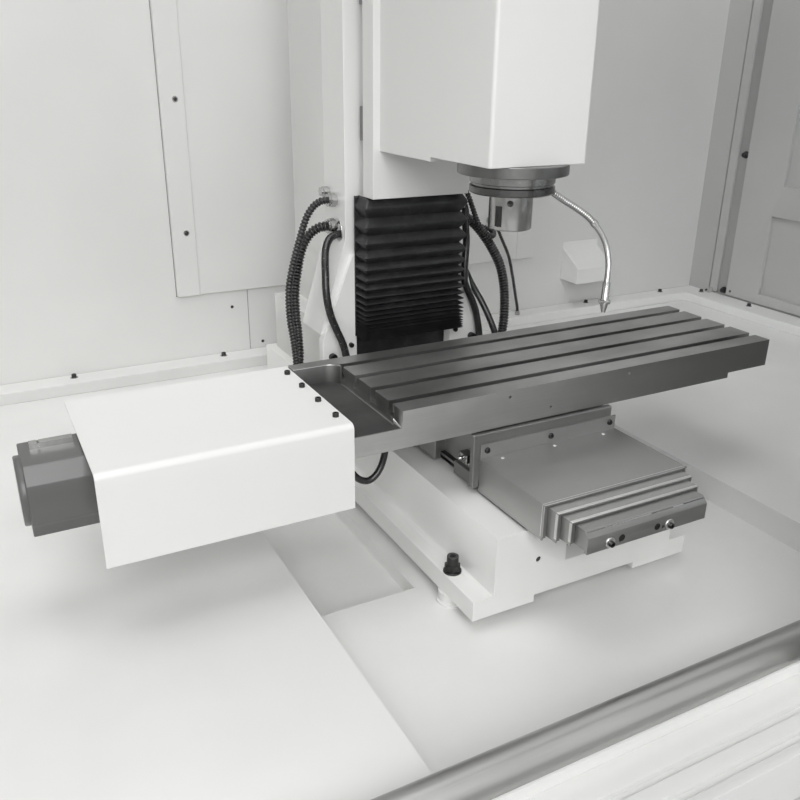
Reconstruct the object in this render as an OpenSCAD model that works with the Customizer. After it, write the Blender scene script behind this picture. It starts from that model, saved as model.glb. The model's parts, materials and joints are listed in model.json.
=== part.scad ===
// A bed-type vertical machining center in its sheet-metal enclosure.
// Millimetres, +Z up, front towards -Y. The origin is on the floor, under the middle of the enclosure.

/* [Enclosure] */
// Outside width of the enclosure
enclosure_w = 2942; // [2800:1:3200]
// Outside depth of the enclosure
enclosure_d = 1634; // [1600:1:1800]
// Height of the walls above the floor
enclosure_h = 2000; // [1960:1:2200]
// Depth of a wall panel over its folded edges
wall_t = 30; // [24:1:40]
// Sheet thickness of walls, tray and doors
sheet_t = 3; // [2:0.5:5]
// Width of the two front corner posts
post_w = 121; // [100:1:160]
// Height of the beam above the front opening
header_h = 150; // [120:1:200]
// Diameter of the rounded rail along the front sill
sill_d = 46; // [40:1:50]
// Height of the sill rail's axis above the floor
sill_z = 609; // [609:1:640]
// Overlap of the two front doors at the middle
door_overlap = 20; // [10:1:40]
// Height of the square ledge along the foot of the walls
ledge_h = 28; // [20:1:40]
// Depth of the square ledge along the foot of the walls
ledge_d = 66; // [50:1:90]
// Length of the service door in the right wall
service_door_l = 700; // [500:1:800]
// Distance of the service door's rear edge from the rear wall
service_door_gap = 90; // [70:1:140]

/* [Chip tray and stand] */
// Height of the tray's middle floor above the ground
tray_z = 533; // [520:1:560]
// Height of the side floors above the middle floor
tray_step = 52; // [30:1:60]
// Width of the tray's middle channel
channel_w = 846; // [820:1:900]
// Depth of the two pockets beside the base
pocket_h = 28; // [15:1:40]
// Width of the stand's box-section legs
leg_w = 80; // [60:1:120]
// Height of the levelling feet under the stand
foot_h = 45; // [35:1:60]
// Diameter of the levelling feet
foot_d = 90; // [70:1:120]

/* [Base] */
// Width of the bed
bed_w = 352; // [340:1:370]
// Height of the base casting
base_h = 132; // [125:1:150]
// Width of the base over its foot flanges
flange_w = 424; // [400:1:440]
// Thickness of the foot flanges
flange_h = 33; // [25:1:40]
// Length of the base casting
base_l = 997; // [960:1:1040]
// Distance of the base's front face from the enclosure's front
base_front_gap = 413; // [380:1:440]
// Height of the levelling pads under the base
pad_h = 20; // [12:1:30]
// Diameter of the levelling pads
pad_d = 48; // [36:1:60]
// Diameter of the levelling screws
level_screw_d = 16; // [12:1:20]

/* [Saddle and way cover] */
// Width of the saddle
saddle_w = 276; // [260:1:290]
// Length of the saddle, front to back
saddle_l = 250; // [240:1:258]
// Height from the bed to the underside of the table's skirts
saddle_room = 105; // [100:1:125]
// Width of the way cover's largest box
cover_w = 272; // [260:1:290]
// Height of the way cover's largest box
cover_h = 57; // [50:1:60]
// Length of the way cover's largest box
cover_l = 175; // [170:1:190]
// Height lost by each smaller box of the way cover
cover_drop = 5; // [4:0.5:6]
// Width lost at each side by each smaller box of the way cover
cover_inset = 8; // [5:0.5:9]
// Sheet thickness of the way cover
cover_t = 2; // [1.5:0.5:3]
// Distance that each smaller box shows in front of the last
cover_show = 21; // [20:1:24]

/* [Table] */
// Length of the table's slotted block
table_l = 778; // [700:1:820]
// Width of the table, front to back
table_w = 260; // [250:1:270]
// Thickness of the table over its skirts
table_t = 60; // [56:1:66]
// Thickness of the slotted plate
plate_t = 38; // [34:1:42]
// How far the table's middle stands right of the spindle
table_shift = 129; // [100:1:140]
// Pitch of the T-slots
slot_pitch = 60; // [54:1:62]
// Width of a T-slot's neck
slot_w = 14; // [12:1:16]
// Width of a T-slot's head
slot_head_w = 24; // [22:1:28]
// Depth of a T-slot
slot_depth = 23; // [20:1:25]
// Height of a T-slot's head
slot_head_h = 9; // [8:1:11]
// Length of the drain trough that shows beside the slotted block
trough_l = 80; // [60:1:100]
// Length of the sheet cover over the table's motor bracket
motor_cover_l = 354; // [340:1:380]
// Depth of the sheet cover's front apron
motor_cover_h = 135; // [125:1:145]

/* [Column and head] */
// Width of the column
column_w = 256; // [240:1:270]
// Width of the column's flared foot
column_foot_w = 370; // [350:1:400]
// Height of the column above the bed
column_h = 1135; // [1120:1:1200]
// Distance of the column's front face from the table's back edge
column_gap = 230; // [225:1:260]
// Width of the spindle head
head_w = 180; // [170:1:200]
// Distance from the spindle's axis to the front of the head
head_front = 68; // [60:1:80]
// Height of the head's front above the table
head_z = 330; // [325:1:360]
// Height of the spindle head
head_h = 380; // [370:1:420]
// Diameter of the spindle flange
spindle_flange_d = 176; // [160:1:178]
// Thickness of the spindle flange
spindle_flange_t = 17; // [12:1:20]
// Diameter of the spindle nose
nose_d = 136; // [120:1:140]
// Height of the spindle nose
nose_h = 30; // [26:1:34]
// Diameter of the tool holder's body
holder_d = 70; // [60:1:76]
// Length of the tool holder's body
holder_l = 57; // [50:1:60]
// Diameter of the tool holder's bore
holder_bore_d = 25; // [20:1:32]
// Diameter of the spindle cartridge inside the head
cartridge_d = 120; // [110:1:130]

/* [Bellows] */
// Width of the bellows
bellows_w = 228; // [220:1:240]
// How far the bellows stands in front of the column
bellows_d = 50; // [48:1:54]
// Height of the bellows
bellows_h = 279; // [260:1:290]
// Number of folds
bellows_folds = 20; // [14:1:22]
// Ratio of each fold's height to the one above it
fold_ratio = 0.875; // [0.86:0.005:0.95]
// Depth of a fold
fold_depth = 11; // [8:1:13]

/* [Guideways and drives] */
// Width of a guide rail
rail_w = 20; // [18:1:23]
// Height of a guide rail
rail_h = 15; // [14:1:16]
// Height from a rail's seat to the top of its carriage
guide_h = 30; // [29:1:32]
// Width of a guide carriage
block_w = 48; // [44:1:50]
// Length of a guide carriage
block_l = 60; // [50:1:70]
// Spacing of the two rails under the saddle
y_rail_pitch = 200; // [190:1:206]
// Spacing of the two rails under the table
x_rail_pitch = 164; // [156:1:166]
// Spacing of the two rails on the column
z_rail_pitch = 150; // [140:1:156]
// Diameter of a ball screw
screw_d = 20; // [18:1:22]
// Width of the square axis motors
motor_w = 104; // [90:1:108]
// Length of the table's motor
x_motor_l = 178; // [160:1:190]

/* [Hidden] */
$fn = 64;

// Small clearances
seat_gap = 0.3;
run_gap = 0.05;
slide_gap = 2;

// Enclosure planes
out_x = enclosure_w / 2;
out_y = enclosure_d / 2;
in_x = out_x - wall_t;
rear_y = out_y - wall_t;
base_front_y = -out_y + base_front_gap;
base_rear_y = base_front_y + base_l;
side_floor_z = tray_z + tray_step;
wall_foot_z = side_floor_z;
sill_r = sill_d / 2;
sill_y = -out_y + 118;
channel_x = channel_w / 2;
tray_front_y = sill_y - sill_r + sheet_t;
tray_rear_y = base_rear_y + 27;
stand_top_z = tray_z - pocket_h - sheet_t;
base_rail_x = flange_w / 2 - leg_w / 2 - 2;
pocket_front_y = base_front_y + 137;
pocket_rear_y = tray_rear_y - 20;
pocket_x0 = flange_w / 2 + 18;
tray_seam = 0.3;

// Base and guideways of the Y axis
base_z = tray_z + pad_h;
bed_z = base_z + base_h;
flange_z = base_z + flange_h;
rail_sink = 6;
y_seat_z = bed_z - rail_sink;
saddle_seat_z = y_seat_z + guide_h;
skirt_z = bed_z + 11;
screw_channel_w = 90;
screw_channel_z = base_z + 59;
y_screw_z = bed_z - 30;

// Table
table_bottom_z = bed_z + saddle_room;
table_z = table_bottom_z + table_t;
table_front_y = base_front_y + 137;
table_back_y = table_front_y + table_w;
table_mid_y = table_front_y + table_w / 2;
block_x1 = table_shift + table_l / 2;
block_x0 = block_x1 - table_l;
cover_edge_x = block_x0 - trough_l;
table_x0 = cover_edge_x - 32;
plate_under_z = table_z - plate_t;
skirt_t = 22;
x_seat_z = plate_under_z;
saddle_top_z = x_seat_z - guide_h;
x_screw_y = table_mid_y - 15;
x_screw_z = table_bottom_z - 2;
trough_floor_z = table_z - 32;
rim_z = table_z - 28;
step_x = block_x1 - 98;

// Saddle
saddle_front_y = table_front_y;
saddle_back_y = saddle_front_y + saddle_l;
saddle_x = saddle_w / 2;
recess_d = 20;
recess_l = 110;
x_block_pitch = 170;
y_block_pitch = 170;

// Way cover
cover_mid_x = 10;
cover_top_z = skirt_z + 51;
cover_front_y = saddle_front_y - cover_l;
cover_levels = 3;
cover_end_y = cover_front_y - cover_levels * cover_show;
cover_segment_l = 150;
end_plate_t = 6;
end_foot_x = 50;
end_foot_w = 32;

// Column and head
column_y = table_back_y + column_gap;
plate_front_y = column_y - 10;
column_flange_d = 100;
body_inset = 22;
column_rear_y = base_rear_y - 40;
column_x = column_w / 2;
foot_x = column_foot_w / 2;
column_foot_z = bed_z + 131;
column_top_z = bed_z + column_h;
flare_h = 188;
spindle_y = table_mid_y - 3;
head_bottom_z = table_z + head_z;
head_rear_z = head_bottom_z - 7;
head_top_z = head_bottom_z + head_h;
head_front_y = spindle_y - head_front;
carriage_y = column_y - guide_h;
carriage_w = 208;
carriage_t = 43;
bellows_z = bed_z + 123;
bellows_top_z = bellows_z + bellows_h;
bellows_front_y = plate_front_y - bellows_d;
bellows_x = bellows_w / 2;
z_block_pitch = 230;
flange_bottom_z = head_bottom_z - spindle_flange_t;
nose_bottom_z = flange_bottom_z - nose_h;
holder_bottom_z = nose_bottom_z - holder_l;
taper_d = 44.45;
taper_l = 65;
taper_tip_d = 25.5;
spindle_r = 35;

// Opening between the column's feet
apron_w = 220;

// Motors
motor_step = [12, 23.5];
x_bracket_x0 = table_x0 - 228;
x_motor_x1 = x_bracket_x0;
cap_l = 8;

// Routes of cords and of the coolant line, chosen by hand and measured from what carries them
function moved(p, by) = [for (q = p) q + by];
on_column = [0, column_y, 0];
on_wall = [0, rear_y, 0];
on_head = [0, spindle_y, head_bottom_z];
on_table = [table_x0, x_screw_y, x_seat_z];
upper_route = moved([
  [-146, 43, 1073], [-160, 43, 1072], [-176, 41, 1064], [-191, 38, 1047], [-202, 35, 1025],
  [-212, 33, 999], [-221, 32, 973], [-232, 31, 935], [-238, 30, 900], [-238, 29, 850],
  [-232, 28, 800], [-228, 29, 750], [-232, 35, 700], [-242, 47, 650], [-252, 61, 600],
  [-259, 69, 555], [-260, 70, 518]
], on_column);
lower_route = moved([
  [-146, 48, 1022], [-161, 48, 1021], [-178, 50, 1012], [-192, 52, 995], [-202, 54, 970],
  [-209, 56, 935], [-215, 57, 895], [-215, 58, 850], [-211, 59, 800], [-210, 61, 750],
  [-216, 71, 700], [-232, 89, 650], [-252, 111, 600], [-263, 123, 555], [-264, 125, 518]
], on_column);
left_route = moved([
  [-119, 28, 1008], [-136, 28, 1008], [-152, 24, 1001], [-164, 14, 985], [-171, 2, 963],
  [-176, -10, 939], [-179, -18, 913], [-178, -23, 886], [-172, -25, 858], [-162, -27, 831],
  [-151, -29, 804], [-144, -31, 775], [-144, -32, 745], [-151, -32, 716], [-156, -32, 693]
], on_column);
right_route = moved([
  [142, 39, 1022], [160, 39, 1021], [181, 39, 1013], [203, 39, 995], [226, 39, 969],
  [249, 39, 937], [267, 39, 905], [279, 39, 865], [285, 39, 820], [286, 40, 770], [281, 44, 720],
  [272, 52, 670], [263, 63, 620], [257, 71, 570], [255, 73, 518]
], on_column);
ring_route = moved([
  [146, 17, 1083], [155, 17, 1077], [163, 16, 1063], [171, 15, 1044], [180, 15, 1024],
  [191, 15, 1004], [205, 15, 989], [220, 18, 979], [234, 25, 977], [243, 36, 980],
  [244, 48, 984], [236, 59, 988], [222, 67, 993], [205, 72, 1000], [188, 75, 1006],
  [171, 76, 1010], [158, 76, 1012], [146, 76, 1012]
], on_column);
right_a_route = moved([
  [124, 127, 960], [133, 127, 959], [144, 122, 955], [154, 109, 950], [161, 91, 944],
  [165, 69, 937], [166, 49, 927], [167, 35, 916], [171, 27, 902], [179, 24, 884], [189, 17, 863],
  [198, 6, 842], [206, -8, 817], [213, -20, 791], [217, -27, 772], [215, -32, 750],
  [205, -33, 730], [190, -34, 714], [175, -35, 702], [166, -35, 692]
], on_column);
right_b_route = moved([
  [146, 15, 1052], [152, 14, 1045], [152, 10, 1030], [149, 3, 1005], [145, -8, 980],
  [140, -15, 955], [136, -20, 925], [136, -23, 896], [145, -23, 875], [156, -23, 854],
  [165, -23, 833], [171, -23, 812], [175, -24, 791], [176, -27, 772], [174, -30, 750],
  [167, -32, 730], [155, -34, 714], [145, -35, 702], [141, -35, 692]
], on_column);
wall_route = moved([
  [579, -28, 903], [579, -36, 902], [580, -42, 896], [584, -45, 886], [591, -47, 872],
  [600, -47, 855], [610, -47, 837], [620, -47, 819], [630, -47, 798], [638, -47, 775],
  [645, -47, 750], [652, -47, 724], [659, -46, 698], [666, -45, 672], [673, -44, 648],
  [677, -43, 632], [678, -43, 620]
], on_wall);
gooseneck_route = moved([
  [72, 88, 0], [72, 88, -15], [84, 83, -31], [106, 73, -46], [130, 63, -62], [152, 54, -77],
  [176, 45, -92], [198, 36, -109], [214, 27, -130], [224, 19, -152], [227, 12, -175],
  [224, 5, -198], [218, -1, -220]
], on_head);
loop_route = moved([
  [48, -48, -6], [46, -48, -30], [48, -50, -54], [56, -52, -76], [69, -54, -92], [85, -54, -98],
  [99, -54, -90], [110, -52, -74], [116, -50, -52], [116, -48, -28], [112, -48, -6]
], on_table);
loop_d = 11;
upper_d = 15;
lower_d = 20;
left_d = 15;
right_d = 22;
ring_d = 12;
wall_d = 10;
right_a_d = 14;
right_b_d = 15;
gooseneck_d = 12;

// Repeated shapes

// A block between two corners
module span(a, b) {
  translate(a) cube(b - a);
}

module x_bar(r, x0, x1, y, z) {
  translate([x0, y, z]) rotate([0, 90, 0]) cylinder(r = r, h = x1 - x0);
}

module y_bar(r, y0, y1, x, z) {
  translate([x, y1, z]) rotate([90, 0, 0]) cylinder(r = r, h = y1 - y0);
}

module z_bar(r, z0, z1, x, y) {
  translate([x, y, z0]) cylinder(r = r, h = z1 - z0);
}

// A square with rounded corners, centred
module round_square(w, h, r) {
  union() {
    square([w - 2 * r, h], center = true);
    square([w, h - 2 * r], center = true);
    for (sx = [-1, 1], sy = [-1, 1])
      translate([sx * (w / 2 - r), sy * (h / 2 - r)]) circle(r = r);
  }
}

// A wall panel: one sheet with folded edges and ribs on its outer side
module wall_pan(l, h, bays) {
  rim = 40;
  bay = (l - rim) / bays;
  difference() {
    cube([l, wall_t, h]);
    for (i = [0 : bays - 1])
      translate([rim + i * bay, sheet_t, rim]) cube([bay - rim, wall_t, h - 2 * rim]);
  }
}

// Sections of a tube that follows a route
function unit(v) = v / norm(v);
function route_dir(p, i) = unit(p[min(i + 1, len(p) - 1)] - p[max(i - 1, 0)]);
function ring_x(d) = unit(cross([0.31, 1, 0.17], d));
function ring_point(p, i, r, a) =
  let (d = route_dir(p, i), u = ring_x(d), v = cross(d, u))
  p[i] + r * (cos(a) * u + sin(a) * v);

module route_tube(p, d, sides) {
  n = len(p);
  points = [for (i = [0 : n - 1], k = [0 : sides - 1]) ring_point(p, i, d / 2, 360 * k / sides)];
  side_faces = [for (i = [0 : n - 2], k = [0 : sides - 1])
    [i * sides + k, (i + 1) * sides + k,
     (i + 1) * sides + (k + 1) % sides, i * sides + (k + 1) % sides]];
  first = [[for (k = [0 : sides - 1]) k]];
  last = [[for (k = [sides - 1 : -1 : 0]) (n - 1) * sides + k]];
  polyhedron(points = points, faces = concat(side_faces, first, last), convexity = 6);
}

// A guide carriage round its rail: the rail runs along Y, its seat at z = 0
module carriage() {
  difference() {
    translate([-block_w / 2, -block_l / 2, guide_h - 22]) cube([block_w, block_l, 22]);
    translate([-rail_w / 2 - seat_gap, -block_l, 0])
      cube([rail_w + 2 * seat_gap, 2 * block_l, rail_h + seat_gap]);
  }
}

// A guide rail along Y, with its seat at z = 0
module rail(l) {
  difference() {
    translate([-rail_w / 2, 0, 0]) cube([rail_w, l, rail_h]);
    for (s = [-1, 1])
      translate([s * rail_w / 2, -1, rail_h / 2]) rotate([-90, 0, 0]) cylinder(r = 2.5, h = l + 2, $fn = 4);
  }
}

// A servo motor along +X, its flange at x = 0: stepped corners and a round end cap
module servo(w, l) {
  h = w / 2;
  q = [[h - motor_step[0], h], [h - motor_step[0] + 2, h - motor_step[1] + 10],
       [h - motor_step[0] / 2, h - motor_step[1] + 6], [h, h - motor_step[1]]];
  back = reversed(q);
  union() {
    rotate([90, 0, 90]) linear_extrude(height = l)
      polygon(concat(q, [for (p = back) [p[0], -p[1]]], -q, [for (p = back) [-p[0], p[1]]]));
    translate([l - 1, 0, 0]) rotate([0, 90, 0]) cylinder(r = w * 0.46, h = cap_l + 1);
    translate([-6, 0, 0]) rotate([0, 90, 0]) cylinder(r = w * 0.3, h = 7);
  }
}

// Enclosure and stand

module machine_stand() {
  color([0.86, 0.86, 0.85]) {
    leg_x = in_x - leg_w;
    mid_leg_x = channel_x - leg_w / 2;
    y0 = tray_front_y + 10;
    y1 = out_y - leg_w - 10;
    union() {
      for (x = [-leg_x - leg_w, -mid_leg_x - leg_w, mid_leg_x, leg_x], y = [y0, y1])
        span([x, y, foot_h], [x + leg_w, y + leg_w, stand_top_z - leg_w]);
      for (y = [y0, y1])
        span([-in_x, y, stand_top_z - leg_w], [in_x, y + leg_w, stand_top_z]);
      for (x = [-in_x, -mid_leg_x - leg_w, mid_leg_x, in_x - leg_w])
        span([x, y0 + leg_w, stand_top_z - leg_w], [x + leg_w, y1, stand_top_z]);
      // rails straight under the pads of the base
      for (s = [-1, 1])
        span([s * base_rail_x - leg_w / 2, y0 + 1, stand_top_z - leg_w],
             [s * base_rail_x + leg_w / 2, y1 + 1, tray_z - sheet_t]);
      // closed skirt round the foot of the stand
      difference() {
        span([-out_x, tray_front_y - sheet_t, 110], [out_x, out_y, stand_top_z]);
        span([-in_x, tray_front_y + 10, 100], [in_x, out_y - 10, stand_top_z + 1]);
        for (i = [0 : 3])
          span([-out_x + 40 + i * (enclosure_w - 40) / 4, tray_front_y - 2 * sheet_t, 150],
               [-out_x + i * (enclosure_w - 40) / 4 + (enclosure_w - 40) / 4,
                tray_front_y + 10 - sheet_t, stand_top_z - 40]);
        for (s = [-1, 1])
          translate([s > 0 ? out_x - wall_t + sheet_t : -out_x - 1, tray_front_y + 50, 150])
            cube([wall_t - sheet_t + 1, out_y - tray_front_y - 100, stand_top_z - 190]);
        for (i = [0 : 2])
          span([-out_x + 50 + i * (enclosure_w - 50) / 3, out_y - 10 + sheet_t, 150],
               [-out_x + (i + 1) * (enclosure_w - 50) / 3, out_y + 1, stand_top_z - 40]);
      }
    }
  }
}

module levelling_feet() {
  leg_x = in_x - leg_w / 2;
  mid_leg_x = channel_x;
  y0 = tray_front_y + 10 + leg_w / 2;
  y1 = out_y - leg_w / 2 - 10;
  color([0.25, 0.25, 0.26])
  for (x = [-leg_x, -mid_leg_x, mid_leg_x, leg_x], y = [y0, y1])
    translate([x, y, 0]) rotate_extrude()
      polygon([[0, 0], [foot_d / 2, 0], [foot_d / 2, 8], [foot_d / 4, 18], [12, 22], [12, foot_h - 12],
               [20, foot_h - 12], [20, foot_h], [0, foot_h]]);
}

module chip_tray() {
  floor_t = sheet_t;
  floor_y = tray_front_y + tray_seam;
  inner_x = channel_x - tray_seam;
  riser_top = side_floor_z - floor_t - tray_seam;
  color([0.78, 0.78, 0.77]) {
    // middle floor, notched for its two pockets
    difference() {
      span([-inner_x, floor_y, tray_z - floor_t], [inner_x, tray_rear_y - tray_seam, tray_z]);
      for (s = [0, 1]) mirror([s, 0, 0])
        span([pocket_x0 - tray_seam, pocket_front_y - tray_seam, tray_z - floor_t - 1],
             [channel_x, pocket_rear_y + tray_seam, tray_z + 1]);
    }
    for (s = [0, 1]) mirror([s, 0, 0]) {
      difference() {
        span([pocket_x0, pocket_front_y, stand_top_z], [inner_x, pocket_rear_y, tray_z]);
        span([pocket_x0 + floor_t, pocket_front_y + floor_t, stand_top_z + floor_t],
             [inner_x - floor_t, pocket_rear_y - floor_t, tray_z + 1]);
      }
      // the side floor lies over its riser
      span([channel_x, floor_y, stand_top_z], [channel_x + floor_t, tray_rear_y + floor_t, riser_top]);
      span([channel_x, floor_y, side_floor_z - floor_t], [in_x, rear_y, side_floor_z]);
    }
    // rear riser and the strip of floor behind it
    span([-inner_x, tray_rear_y, tray_z - floor_t], [inner_x, tray_rear_y + floor_t, riser_top]);
    span([-inner_x, tray_rear_y, side_floor_z - floor_t], [inner_x, rear_y, side_floor_z]);
    // front upstand
    span([-in_x, tray_front_y - floor_t, stand_top_z], [in_x, tray_front_y, sill_z - sill_r / 2]);
  }
}

module rear_wall() {
  color([0.88, 0.88, 0.87]) difference() {
    union() {
      translate([-out_x, rear_y, wall_foot_z]) wall_pan(enclosure_w, enclosure_h - wall_foot_z, 3);
      span([-out_x, rear_y, stand_top_z], [out_x, out_y, wall_foot_z + 40]);
    }
    // the lower middle of the inner skin is set back beside the column
    span([-155, rear_y - 1, wall_foot_z], [530, rear_y + 1.5, rear_panel_z]);
  }
}

rear_panel_z = table_z - 73;
rear_panel_x0 = -337;
rear_panel_x1 = 742;
rear_panel_t = 14;
panel_press = 4;

module rear_cover_panel() {
  color([0.9, 0.9, 0.89]) difference() {
    span([rear_panel_x0, rear_y - rear_panel_t, rear_panel_z],
         [rear_panel_x1, rear_y, enclosure_h - 60]);
    // the middle is pressed back a little between two strips
    span([rear_panel_x0 + 56, rear_y - rear_panel_t - 1, rear_panel_z - 1],
         [rear_panel_x1 - 60, rear_y - rear_panel_t + panel_press, enclosure_h]);
  }
}

module left_wall() {
  l = rear_y + out_y;
  color([0.88, 0.88, 0.87]) union() {
    translate([-in_x, -out_y, wall_foot_z]) rotate([0, 0, 90]) wall_pan(l, enclosure_h - wall_foot_z, 2);
    span([-out_x, -out_y, stand_top_z], [-in_x, rear_y, wall_foot_z + 40]);
  }
}

service_y1 = rear_y - service_door_gap;
service_y0 = service_y1 - service_door_l;
service_z0 = wall_foot_z + ledge_h + 4;
service_z1 = enclosure_h - 60;
seal_y = service_door_l / 10;
pull_d = 60;
pull_l = 140;
pull_z = table_z + 300;

module right_wall() {
  l = rear_y + out_y;
  margin = 4;
  color([0.88, 0.88, 0.87]) difference() {
    union() {
      span([in_x, -out_y, stand_top_z], [out_x, rear_y, enclosure_h]);
    }
    span([in_x + sheet_t, -out_y + 40, wall_foot_z + 40], [out_x + 1, service_y0 - 40, enclosure_h - 40]);
    span([in_x - 1, service_y0 - margin, service_z0 - margin],
         [out_x + 1, service_y1 + margin, service_z1 + margin]);
    // pins of the service door
    for (z = [service_z0 - margin, service_z1 + margin])
      z_bar(6 + run_gap, z - 20, z + 20, out_x - 10, service_y0 + 10);
  }
}

// A hinged door pressed from sheet, with two recessed panels on its inner side
module service_door() {
  color([0.87, 0.87, 0.86]) {
    difference() {
      union() {
        span([in_x, service_y0, service_z0], [out_x - 2, service_y1, service_z1]);
        for (z = [service_z0 - 20, service_z1 - 1])
          z_bar(6, z, z + 21, out_x - 10, service_y0 + 10);
      }
      // pressed recesses towards the inside
      span([in_x - 1, service_y0 + 60, service_z0 + 371], [in_x + 12, service_y1 - 220, service_z1 - 60]);
      span([in_x - 1, service_y0 + 60, service_z0 + 30], [in_x + 12, service_y1 - 197, service_z0 + 278]);
      // seal groove near the rear edge
      span([in_x - 1, service_y1 - seal_y, service_z0 - 1], [in_x + 8, service_y1 - seal_y + 38, service_z1 - 10]);
      // pull recess on the outer side
      span([out_x - 14, service_y1 - pull_d, pull_z], [out_x, service_y1 - pull_d + 35, pull_z + pull_l]);
    }
  }
}

module wall_ledge() {
  ledge_y0 = sill_y + sill_r + 4;
  color([0.88, 0.88, 0.87]) union() {
    span([-in_x, rear_y - ledge_d, side_floor_z], [-110, rear_y - 2, side_floor_z + ledge_h]);
    span([110, rear_y - ledge_d, side_floor_z], [in_x, rear_y - 2, side_floor_z + ledge_h]);
    span([in_x - ledge_d - 19, ledge_y0, side_floor_z], [in_x, rear_y - 2, side_floor_z + ledge_h]);
    span([-in_x, ledge_y0, side_floor_z], [-in_x + ledge_d + 19, rear_y - 2, side_floor_z + ledge_h]);
  }
}

// A sheet hood on the rear wall, open at its underside
module duct_hood() {
  x0 = 867;
  l = 136;
  z0 = table_z - 155;
  t = sheet_t;
  color([0.88, 0.88, 0.87]) difference() {
    translate([x0, rear_y, z0]) rotate([90, 0, 90]) linear_extrude(height = l)
      polygon([[0, 0], [0, 117], [-t, 117], [-t, 98], [-81, 47], [-81, 0]]);
    translate([x0 + t, rear_y, z0]) rotate([90, 0, 90]) linear_extrude(height = l - 2 * t)
      polygon([[-t, -1], [-t, 98 - t], [-81 + t, 45], [-81 + t, -1]]);
  }
}

header_z = enclosure_h - header_h;
opening_x = out_x - wall_t - post_w;
track_y = -out_y + 32;

module front_frame() {
  color([0.88, 0.88, 0.87]) difference() {
    union() {
      for (s = [-1, 1])
        span([s > 0 ? opening_x : -in_x, sill_y + sill_r + 4, side_floor_z + ledge_h + 20],
             [s > 0 ? in_x : -opening_x, sill_y + sill_r + 4 + wall_t, enclosure_h]);
      // header beam with the two door tracks in its underside
      span([-in_x, -out_y, header_z], [in_x, sill_y + sill_r + 4 + wall_t, enclosure_h]);
      // bottom track
      span([-in_x, -out_y, sill_z - 45], [in_x, tray_front_y - sheet_t, sill_z - 30]);
      span([-in_x, -out_y, stand_top_z], [in_x, -out_y + sheet_t, sill_z - 30]);
      span([-in_x, -out_y + sheet_t, stand_top_z], [in_x, tray_front_y - sheet_t, stand_top_z + sheet_t]);
    }
    for (y = [door_y0, door_y1]) {
      span([-in_x + 2, y - 4, header_z - 1], [in_x - 2, y + door_t + 4, header_z + 26]);
      span([-in_x + 2, y + door_t / 2 - 6, track_z], [in_x - 2, y + door_t / 2 + 6, sill_z]);
    }
    // hollow of the header beam
    span([-in_x + 20, -out_y + sheet_t, header_z + 26 + sheet_t],
         [in_x - 20, sill_y + sill_r + wall_t, enclosure_h + 1]);
  }
}

door_t = 24;
door_y0 = -out_y + 8;
door_y1 = door_y0 + door_t + 8;
door_w = opening_x + door_overlap;
door_x0 = in_x - 6 - door_w;
door_z0 = sill_z - 28;
track_z = sill_z - 38;
door_z1 = header_z + 22;
window_z1 = door_z1 - 118;
window_m = 90;
window_z = 900;
window_lap = 12;
handle_x = 60;
handle_w = 60;
handle_z = 1060;
handle_l = 260;
handle_depth = 18;

// A sliding door: a folded frame round a window, with a guide tongue below
module sliding_door(y) {
  difference() {
    union() {
      span([door_x0, y, door_z0], [door_x0 + door_w, y + door_t, door_z1]);
      span([door_x0 + 40, y + door_t / 2 - 4, track_z + 2 * run_gap], [door_x0 + door_w - 40, y + door_t / 2 + 4, door_z0 + 1]);
    }
    span([door_x0 + window_m * 2, y - 1, window_z],
         [door_x0 + door_w - window_m * 2, y + door_t + 1, window_z1 - window_lap]);
    span([door_x0 + window_m * 2 - window_lap, y + door_t / 2 - 3, window_z - window_lap],
         [door_x0 + door_w - window_m * 2 + window_lap, y + door_t / 2 + 3, window_z1]);
    // seat of the cup handle
    span([door_x0 + handle_x, y - 1, handle_z],
         [door_x0 + handle_x + handle_w, y + handle_depth, handle_z + handle_l]);
  }
}

module door_pane(y) {
  g = 4;
  span([door_x0 + window_m * 2 - window_lap + g, y + door_t / 2 - 3 + seat_gap, window_z - window_lap + seat_gap],
       [door_x0 + door_w - window_m * 2 + window_lap - g, y + door_t / 2 + 3 - seat_gap, window_z1 - g]);
}

// A cup handle let into a door, its rim standing a little proud
module door_handle(y) {
  rim = 7;
  proud = 6;
  difference() {
    span([door_x0 + handle_x, y - proud, handle_z],
         [door_x0 + handle_x + handle_w, y + handle_depth, handle_z + handle_l]);
    span([door_x0 + handle_x + rim, y - proud - 1, handle_z + rim],
         [door_x0 + handle_x + handle_w - rim, y + handle_depth - 3, handle_z + handle_l - rim]);
  }
}

module outer_door() { color([0.9, 0.9, 0.89]) sliding_door(door_y0); }
module inner_door() { color([0.9, 0.9, 0.89]) sliding_door(door_y1); }
module outer_window() { color([0.75, 0.85, 0.88, 0.4]) door_pane(door_y0); }
module inner_window() { color([0.75, 0.85, 0.88, 0.4]) door_pane(door_y1); }
module outer_door_handle() { color([0.3, 0.3, 0.31]) door_handle(door_y0); }
module inner_door_handle() { color([0.3, 0.3, 0.31]) door_handle(door_y1); }

module sill_rail() {
  color([0.8, 0.8, 0.82]) x_bar(sill_r, -in_x, in_x, sill_y, sill_z);
}

// Base

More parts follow.
